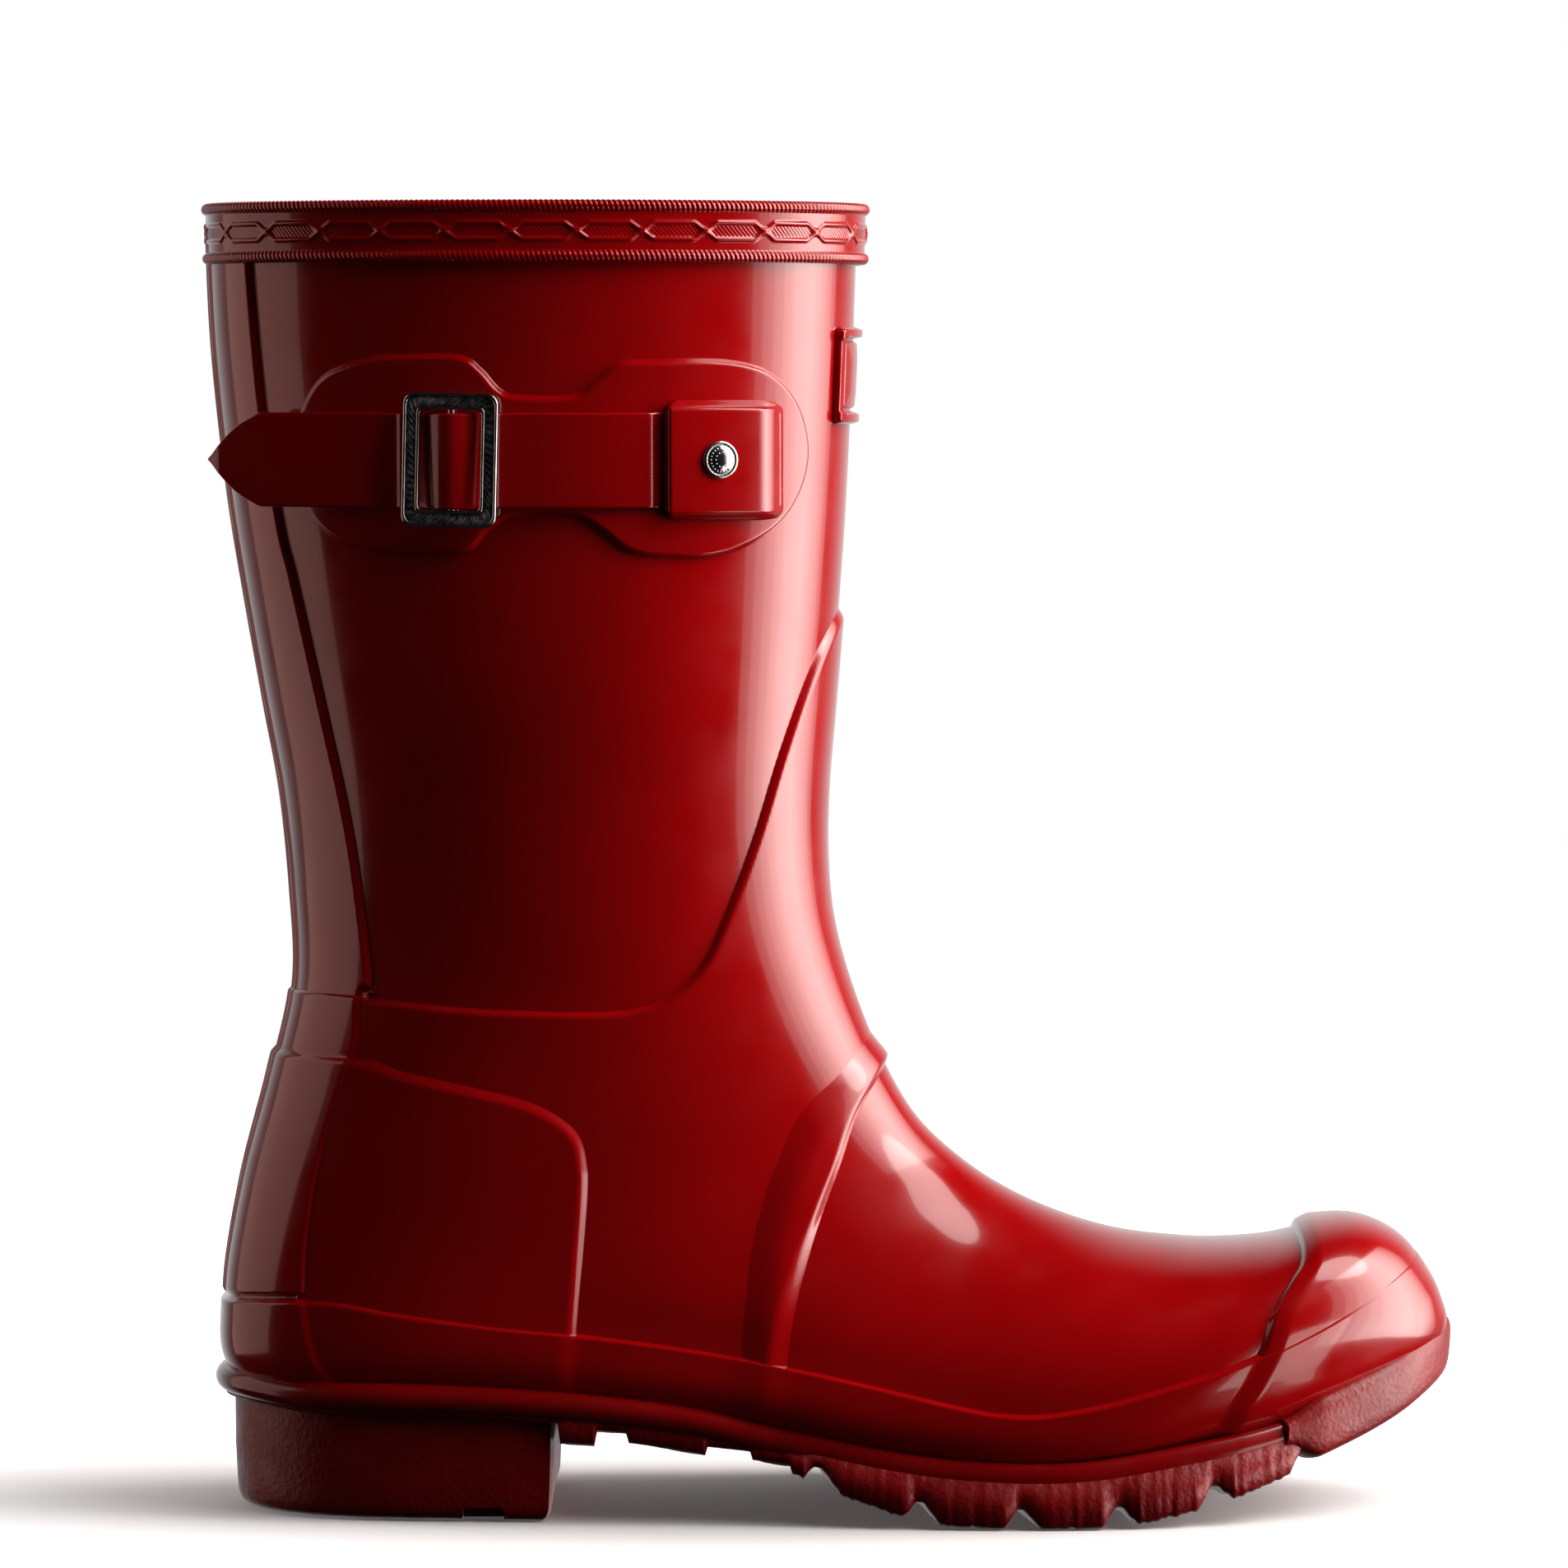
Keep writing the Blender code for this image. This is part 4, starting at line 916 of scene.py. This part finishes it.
STRAP_Z = 241.5
STRAP_HALF = 10.7
STRAP_THICK = 1.6
STRAP_SEAT = 1.9
BUCKLE_X = -85.6
BUCKLE_HALF = (10.8, 15.1)
WINDOW_HALF = (7.0, 11.2)
FRAME_LOW = 4.4
RIVET_X = -28.2
RIVET_RADIUS = 4.3
STRAP_END = -97.0
TAIL_TIP = np.array((-142.0, -28.0))
TAIL_BEND = 24.0
TAIL_SHOULDER = 0.72
BEADS = 58


def leg_side(x, z):
    """Point on the outer side of the leg."""
    x, z = np.broadcast_arrays(np.asarray(x, float), np.asarray(z, float))
    row = section_rows(np.interp(-z.ravel(), -SECTIONS[:5, 1], np.arange(5))).reshape(x.shape + (9,))
    share = (x - row[..., 0]) / (row[..., 2] - row[..., 0]) - row[..., 6]
    ahead = share > 0
    share = np.abs(share) / np.where(ahead, 1 - row[..., 6], row[..., 6])
    power = np.where(ahead, row[..., 8], row[..., 7])
    y = -row[..., 4] * np.maximum(1 - share ** power, 0) ** (1 / power)
    return np.stack([x, y, z], -1)


def leg_point(x, z, offset):
    """Point standing off the outer side of the leg."""
    along = leg_side(x + 0.3, z) - leg_side(x - 0.3, z)
    up = leg_side(x, z + 0.3) - leg_side(x, z - 0.3)
    out = np.cross(along, up)
    out /= np.linalg.norm(out, axis=-1, keepdims=True)
    return leg_side(x, z) + out * np.asarray(offset)[..., None]


def side_axes(x, z):
    """Point on the leg's outer side with its level outward, forward and upward directions."""
    point = leg_side(x, z)
    out = leg_point(x, z, 5.0) - point
    out[2] = 0
    out /= np.linalg.norm(out)
    up = np.array((0.0, 0.0, 1.0))
    return point, out, np.cross(up, out), up


def hump(distance):
    """Height of the strap above its seat where it rides over the buckle's bar."""
    reach = 8.4
    return np.where(np.abs(distance) < reach, 3.6 * np.cos(math.pi * distance / (2 * reach)) ** 2, 0.0)


def strap_outline():
    """Cross-section of the strap: (height from -1 to 1, thickness from 0 to 1), with round edges."""
    loop = rounded_rectangle(-STRAP_HALF, STRAP_HALF, 0, STRAP_THICK, 0.55, 4)
    extra = np.linspace(STRAP_HALF - 0.8, -STRAP_HALF + 0.8, 15)
    top, low = [(h, STRAP_THICK) for h in extra], [(-h, 0.0) for h in extra]
    return np.concatenate([loop[:5], top, loop[5:10], loop[10:15], low, loop[15:]])


def make_strap():
    outline = strap_outline()
    rings = []
    for x in np.concatenate([np.arange(-13.5, STRAP_END, -0.8), [STRAP_END]]):
        seat = STRAP_SEAT + float(hump(x - BUCKLE_X))
        thick = outline[:, 1] * (1 - 0.62 * float(ease(np.array((x + 42.4) / 1.5))))
        rings.append(leg_point(np.full(len(outline), x), STRAP_Z + outline[:, 0], seat + thick))
    start = leg_point(STRAP_END, STRAP_Z, STRAP_SEAT)[:2]
    ahead = leg_point(STRAP_END - 4, STRAP_Z, STRAP_SEAT)[:2] - start
    bend = start + ahead / np.linalg.norm(ahead) * TAIL_BEND
    last = rings[-1]
    for f in np.linspace(0, 1, 64)[1:]:
        middle = start * (1 - f) ** 2 + bend * 2 * f * (1 - f) + TAIL_TIP * f * f
        run = (bend - start) * (1 - f) + (TAIL_TIP - bend) * f
        out = np.array((-run[1], run[0])) / np.linalg.norm(run)
        narrow = max(f - TAIL_SHOULDER, 0) / (1 - TAIL_SHOULDER)
        half = 1 - 0.62 * narrow - 0.36 * ease(np.array(narrow * 1.25 - 0.25)) * narrow
        thick = outline[:, 1] * (1 - 0.5 * ease(np.array(narrow * 4 - 3)))
        flat = middle + out * (thick if out[1] < 0 else -thick)[:, None]
        ring = np.stack([flat[:, 0], flat[:, 1], STRAP_Z + outline[:, 0] * half], 1)
        settle = ease(np.array(f / 0.2))
        offset = last - last.mean(0)
        level = np.stack([(middle[0] + offset[:, 0]), (middle[1] + offset[:, 1]), last[:, 2]], 1)
        rings.append(level * (1 - settle) + ring * settle)
    strap = finish(loft("strap", rings), GLOSS, ["strap", "strap_tail"], body=None)
    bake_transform(strap)


def make_patch_and_pad():
    grid = Grid(0.42, 380, first=0.6, last=3.4, side=(0.55, 0.985))
    outer = grid.y < -4
    edge = grid.inside(curve(PATCH, closed=True))
    rise = EDGE_ONE + 2.0 * ease(edge / 1.8)
    finish(shell("strap_patch", grid, (edge > -TUCK) & outer, rise, BED_ONE), GLOSS)

    edge = grid.inside(rounded_rectangle(-39.5, -12.0, 227.6, 255.2, 4.6))
    upright = np.minimum(grid.z - 227.3, 255.5 - grid.z)
    rise = ease(upright / 2.8) * ease((grid.x + 39.8) / 1.1) * ease((-11.2 - grid.x) / 8.6)
    rise = 1.0 + 4.3 * rise ** 0.8
    finish(shell("anchor_pad", grid, (edge > -0.3) & outer, rise, 0.2), GLOSS)


def turned(name, profile, x, z, sides=96):
    """Body of revolution square to the leg's side, from (radius, offset) pairs."""
    point, out, forward, up = side_axes(x, z)
    turns = np.arange(sides) / sides * TAU
    spokes = np.cos(turns)[:, None] * forward + np.sin(turns)[:, None] * up
    rings = [point + out * offset + spokes * radius for radius, offset in profile]
    return loft(name, rings)


def make_rivet():
    """Domed stud with a stepped rim and a ring of fine beads round a plain centre."""
    r = RIVET_RADIUS
    profile = ((1.5, 0.5), (1.5, 4.2), (r - 0.6, 4.4), (r - 0.1, 4.7), (r, 5.2), (r, 5.6), (r - 0.15, 5.95),
               (r - 0.45, 6.12), (r - 0.75, 6.12), (r - 0.95, 5.98), (r - 1.15, 6.02), (r - 1.5, 6.3),
               (r - 2.1, 6.6), (r - 2.9, 6.85), (r - 3.5, 6.95), (0.35, 7.0))
    finish(turned("rivet", curve(profile, steps=3), RIVET_X, STRAP_Z), STEEL)
    point, out, forward, up = side_axes(RIVET_X, STRAP_Z)
    bm = bmesh.new()
    for radius, count, size, rise in ((2.72, 22, 0.26, 6.25), (1.7, 12, 0.22, 6.66)):
        for k in range(count):
            turn = TAU * k / count
            at = point + out * rise + (forward * math.cos(turn) + up * math.sin(turn)) * radius
            made = bmesh.ops.create_icosphere(bm, subdivisions=2, radius=size * MM)
            bmesh.ops.translate(bm, verts=made["verts"], vec=Vector((at + SHIFT) * MM))
    mesh = bpy.data.meshes.new("rivet_beads")
    bm.to_mesh(mesh)
    bm.free()
    mesh.shade_smooth()
    beads = bpy.data.objects.new("rivet_beads", mesh)
    bpy.context.scene.collection.objects.link(beads)
    finish(beads, STEEL, [])


def frame_loop(share, count):
    """Loop part way from the buckle's window (0) to its outer edge (1), evenly spaced."""
    (ax, az), (bx, bz) = WINDOW_HALF, BUCKLE_HALF
    half_x, half_z = ax + (bx - ax) * share, az + (bz - az) * share
    return even_loop(rounded_rectangle(-half_x, half_x, -half_z, half_z, 1.1 + 1.5 * share, 8), count)


def make_buckle():
    """Slide buckle: bright inner and outer rims with a dark, bead-knurled channel between them."""
    point, out, forward, up = side_axes(BUCKLE_X, STRAP_Z)
    count = 1160
    turn = np.arange(count) / count
    bright = ((0.0, 0.5), (0.06, 0.1), (0.15, 0), (0.85, 0), (0.94, 0.1), (1.0, 0.5), (1.0, 1.5),
              (0.985, 1.75), (0.95, 1.92), (0.88, 1.95), (0.82, 1.85), (0.80, 1.55))
    channel = [(s, 1.3) for s in np.linspace(0.79, 0.23, 22)]
    inner = ((0.22, 1.5), (0.20, 1.75), (0.14, 1.88), (0.07, 1.85), (0.02, 1.65), (0.0, 1.4))
    rings, dark = [], []
    tilt = math.radians(-1.3)
    for i, (share, rise) in enumerate([*bright, *channel, *inner]):
        loop = frame_loop(share, count)
        height = np.full(count, FRAME_LOW + rise)
        if len(bright) <= i < len(bright) + len(channel):
            across = (share - 0.51) / 0.28
            bead = np.abs(np.sin(math.pi * (turn * BEADS + 0.35 * across)))
            height += 0.42 * bead * max(1 - across * across, 0) ** 0.7
            dark.append(i)
        a = loop[:, 0] * math.cos(tilt) - loop[:, 1] * math.sin(tilt)
        b = loop[:, 0] * math.sin(tilt) + loop[:, 1] * math.cos(tilt)
        rings.append(point + out * height[:, None] + forward * a[:, None] + up * b[:, None])
    buckle = finish(loft("buckle_frame", rings, closed=True), STEEL, body="buckle")
    buckle.data.materials.append(gunmetal())
    index = np.zeros(len(buckle.data.polygons), np.int32)
    index[(dark[0] - 1) * count:(dark[-1] + 1) * count] = 1
    buckle.data.polygons.foreach_set("material_index", index)


def make_badge():
    """Blank plaque in a raised frame with a bar along its top and its foot."""
    grid = Grid(0.4, 150, first=0.5, last=1.9, side=(0.955, 1.045))
    outer = grid.inside(rounded_rectangle(-17, 17, 249.3, 271.7, 1.6), "yz")
    hole = -grid.inside(rounded_rectangle(-13.8, 13.8, 252.4, 268.9, 1.2), "yz")
    bars = ease((np.abs(grid.z - 260.5) - 7.9) / 0.6)
    edge = np.minimum(outer, hole)
    rise = -0.3 + (1.9 + 0.5 * bars) * ease((edge + 0.2) / 0.9)
    finish(shell("badge_frame", grid, edge > -0.5, rise, BED_ONE), GLOSS)

    edge = grid.inside(rounded_rectangle(-13.4, 13.4, 252.8, 268.5, 1.0), "yz")
    rise = -0.3 + 1.2 * ease((edge + 0.2) / 0.9) + 0.25 * ease(edge / 5)
    finish(shell("badge_plaque", grid, edge > -0.5, rise, BED_ONE), GLOSS)


# ---- insole

INSOLE_MARGIN = -5.6
INSOLE_ENDS = (-129.5, 126.5)


def insole_rings(low, high, edge, margin):
    """Cross-sections of an insole layer between two heights over the sole's top."""
    outer_line, inner_line = plan_sides(margin)
    outline = rounded_rectangle(-1, 1, 0, 1, 0.5, 6)
    start, end = INSOLE_ENDS
    squeeze = (end - start) / (outer_line[-1, 0] - outer_line[0, 0])
    rings = []
    shares = 0.5 - 0.5 * np.cos(np.linspace(0.02, math.pi - 0.02, 150))
    across = np.concatenate([np.linspace(-1, 1, 60), np.linspace(1, -1, 60)])
    for share in shares:
        x = start + (end - start) * share
        at = outer_line[0, 0] + (x - start) / squeeze
        outer = np.interp(at, outer_line[:, 0], outer_line[:, 1])
        inner = np.interp(at, inner_line[:, 0], inner_line[:, 1])
        y = (outer + inner) / 2 + (inner - outer) / 2 * across
        near = np.minimum(y - outer, inner - y)
        near = np.minimum(near, 0.6 * min(x - start, end - x) + 0.1)
        round_off = 1 - (1 - np.clip(near / edge, 0, 1)) ** 2
        middle = (low + high) / 2
        crowned = high + 0.2 * ease(near / 14) - middle
        z = np.where(np.arange(120) < 60, middle - (middle - low) * round_off, middle + crowned * round_off)
        rings.append(np.stack([np.full(120, x), y, sole_top(x) + z], 1))
    return rings


def make_insole():
    foam = loft("insole_foam", insole_rings(4.9, 7.8, 1.6, INSOLE_MARGIN))
    finish(foam, FOAM, body="insole")
    cover = loft("insole_cover", insole_rings(8.15, 8.75, 0.4, INSOLE_MARGIN - 0.6))
    finish(cover, CLOTH, body="insole")


# ---- CAD nodes that are kept


def dress(node, look):
    """Give a CAD node that still shows its finished look."""
    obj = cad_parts[node]
    material, slot = look
    for place in obj.material_slots:
        place.material = material


# ---- floor, light and camera

CAMERA_DISTANCE = 1.8
CAMERA_X = -0.0099
CAMERA_HEIGHT = 0.2576
CAMERA_TILT = 2.907
FIELD_WIDTH = 0.3621
SENSOR = 36.0


def aim(obj, place, target):
    obj.location = place
    obj.rotation_euler = (Vector(target) - Vector(place)).to_track_quat("-Z", "Y").to_euler()


def soft_box(name, place, target, width, height, power, colour=(1, 1, 1)):
    light = bpy.data.lights.new(name, "AREA")
    light.shape = "RECTANGLE"
    light.size, light.size_y = width, height
    light.energy = power
    light.color = colour
    obj = bpy.data.objects.new(name, light)
    bpy.context.scene.collection.objects.link(obj)
    aim(obj, place, target)
    return obj


def make_floor():
    """Pale floor that the boot stands on; it lights nothing itself. It glows white, a painted glow that
    fades to almost nothing under and close round the boot, so the floor is darker there and shows the
    lamps' shadows.
    """
    bm = bmesh.new()
    bmesh.ops.create_circle(bm, cap_ends=True, segments=128, radius=2.4)
    mesh = bpy.data.meshes.new("floor")
    bm.to_mesh(mesh)
    bm.free()
    floor = bpy.data.objects.new("floor", mesh)
    bpy.context.scene.collection.objects.link(floor)
    floor.location.z = -0.0004
    m = Material("floor", Roughness=0.9)
    m.colour(m.noise(6, 3), (0.88, 0.88, 0.88), (0.93, 0.93, 0.93))
    m.shader.inputs["Emission Color"].default_value = (1, 1, 1, 1)
    # Painted glow: emission grows with distance from the boot, from 0.06 under it to 0.97 farther out, so
    # the floor is painted darker close round the boot.
    squash = m.add("VectorMath", m.where, 0)
    squash.operation = "MULTIPLY"
    squash.inputs[1].default_value = (5.9, 13.0, 1.0)
    reach = m.add("VectorMath", squash.outputs["Vector"], 0)
    reach.operation = "LENGTH"
    painted_glow = m.remap(reach.outputs["Value"], 0.70, 1.70, 0.06, 0.97)
    m.links.new(painted_glow, m.shader.inputs["Emission Strength"])
    mesh.materials.append(m.material)
    floor.visible_glossy = False
    floor.visible_diffuse = False


def make_world():
    """White seen directly; for light, a dark room with a pale wall behind the boot."""
    world = bpy.data.worlds.new("studio")
    bpy.context.scene.world = world
    tree = Nodes(world)
    tree.nodes.clear()
    split = tree.add("SeparateXYZ", tree.add("TexCoord").outputs["Generated"])
    wall = tree.add("MapRange", split.outputs["Y"], "Value", From_Min=0.45, From_Max=1.0, To_Min=0.006,
                    To_Max=0.75)
    wall.interpolation_type = "SMOOTHSTEP"
    room = tree.add("Background", wall.outputs["Result"], "Strength", Color=(1, 1, 1, 1))
    white = tree.add("Background", Color=(1, 1, 1, 1), Strength=1.0)
    either = tree.add("MixShader", tree.add("LightPath").outputs["Is Camera Ray"], "Fac")
    tree.links.new(room.outputs["Background"], either.inputs[1])
    tree.links.new(white.outputs["Background"], either.inputs[2])
    tree.add("OutputWorld", either.outputs["Shader"], "Surface")


def make_lights():
    leg = (0.0, 0.0, 0.15)
    warm = (1.0, 0.95, 0.91)
    for step, width in enumerate((0.37, 0.64, 0.92, 1.21, 1.52)):
        place = (1.27 + 0.01 * step, 0.06, 0.35)
        soft_box(f"key_{step + 1}", place, leg, width, 1.7, 7.8 * width, warm)
    upper = soft_box("key_upper", (0.74, -0.12, 0.98), (0.02, -0.02, 0.07), 0.50, 0.86, 5.5, warm)
    upper.data.shape = "ELLIPSE"
    soft_box("key_low", (0.40, -0.225, -0.08), (0.11, -0.035, -0.08), 0.20, 0.22, 0.35, warm)
    soft_box("fill_left", (-1.29, 0.14, 0.35), (-0.10, 0.0, 0.16), 1.20, 1.5, 4.6, (1.0, 0.64, 0.57))
    wash = soft_box("wash", (0.95, -0.55, 1.05), (0.0, 0.0, 0.1), 0.9, 0.9, 7.5)
    wash.visible_glossy = False


def make_camera():
    camera = bpy.data.objects.new("camera", bpy.data.cameras.new("camera"))
    bpy.context.scene.collection.objects.link(camera)
    camera.data.sensor_width = SENSOR
    camera.data.lens = SENSOR * CAMERA_DISTANCE / FIELD_WIDTH
    camera.data.clip_start = 0.05
    camera.location = (CAMERA_X, SHIFT[1] * MM - CAMERA_DISTANCE, CAMERA_HEIGHT)
    camera.rotation_euler = (math.radians(90 - CAMERA_TILT), 0, 0)
    bpy.context.scene.camera = camera


make_upper()
make_back_stay()
make_binding()
make_sole()
make_strap()
make_patch_and_pad()
make_rivet()
make_buckle()
make_badge()
make_insole()
dress("arch_shank", BRUSHED)
dress("rivet_burr", BRUSHED)
dress("buckle_bar", STEEL)
dress("buckle_keeper", GLOSS)
dress("insole_board", BOARD)
make_floor()
make_world()
make_lights()
make_camera()
bpy.context.scene.view_settings.view_transform = "Standard"
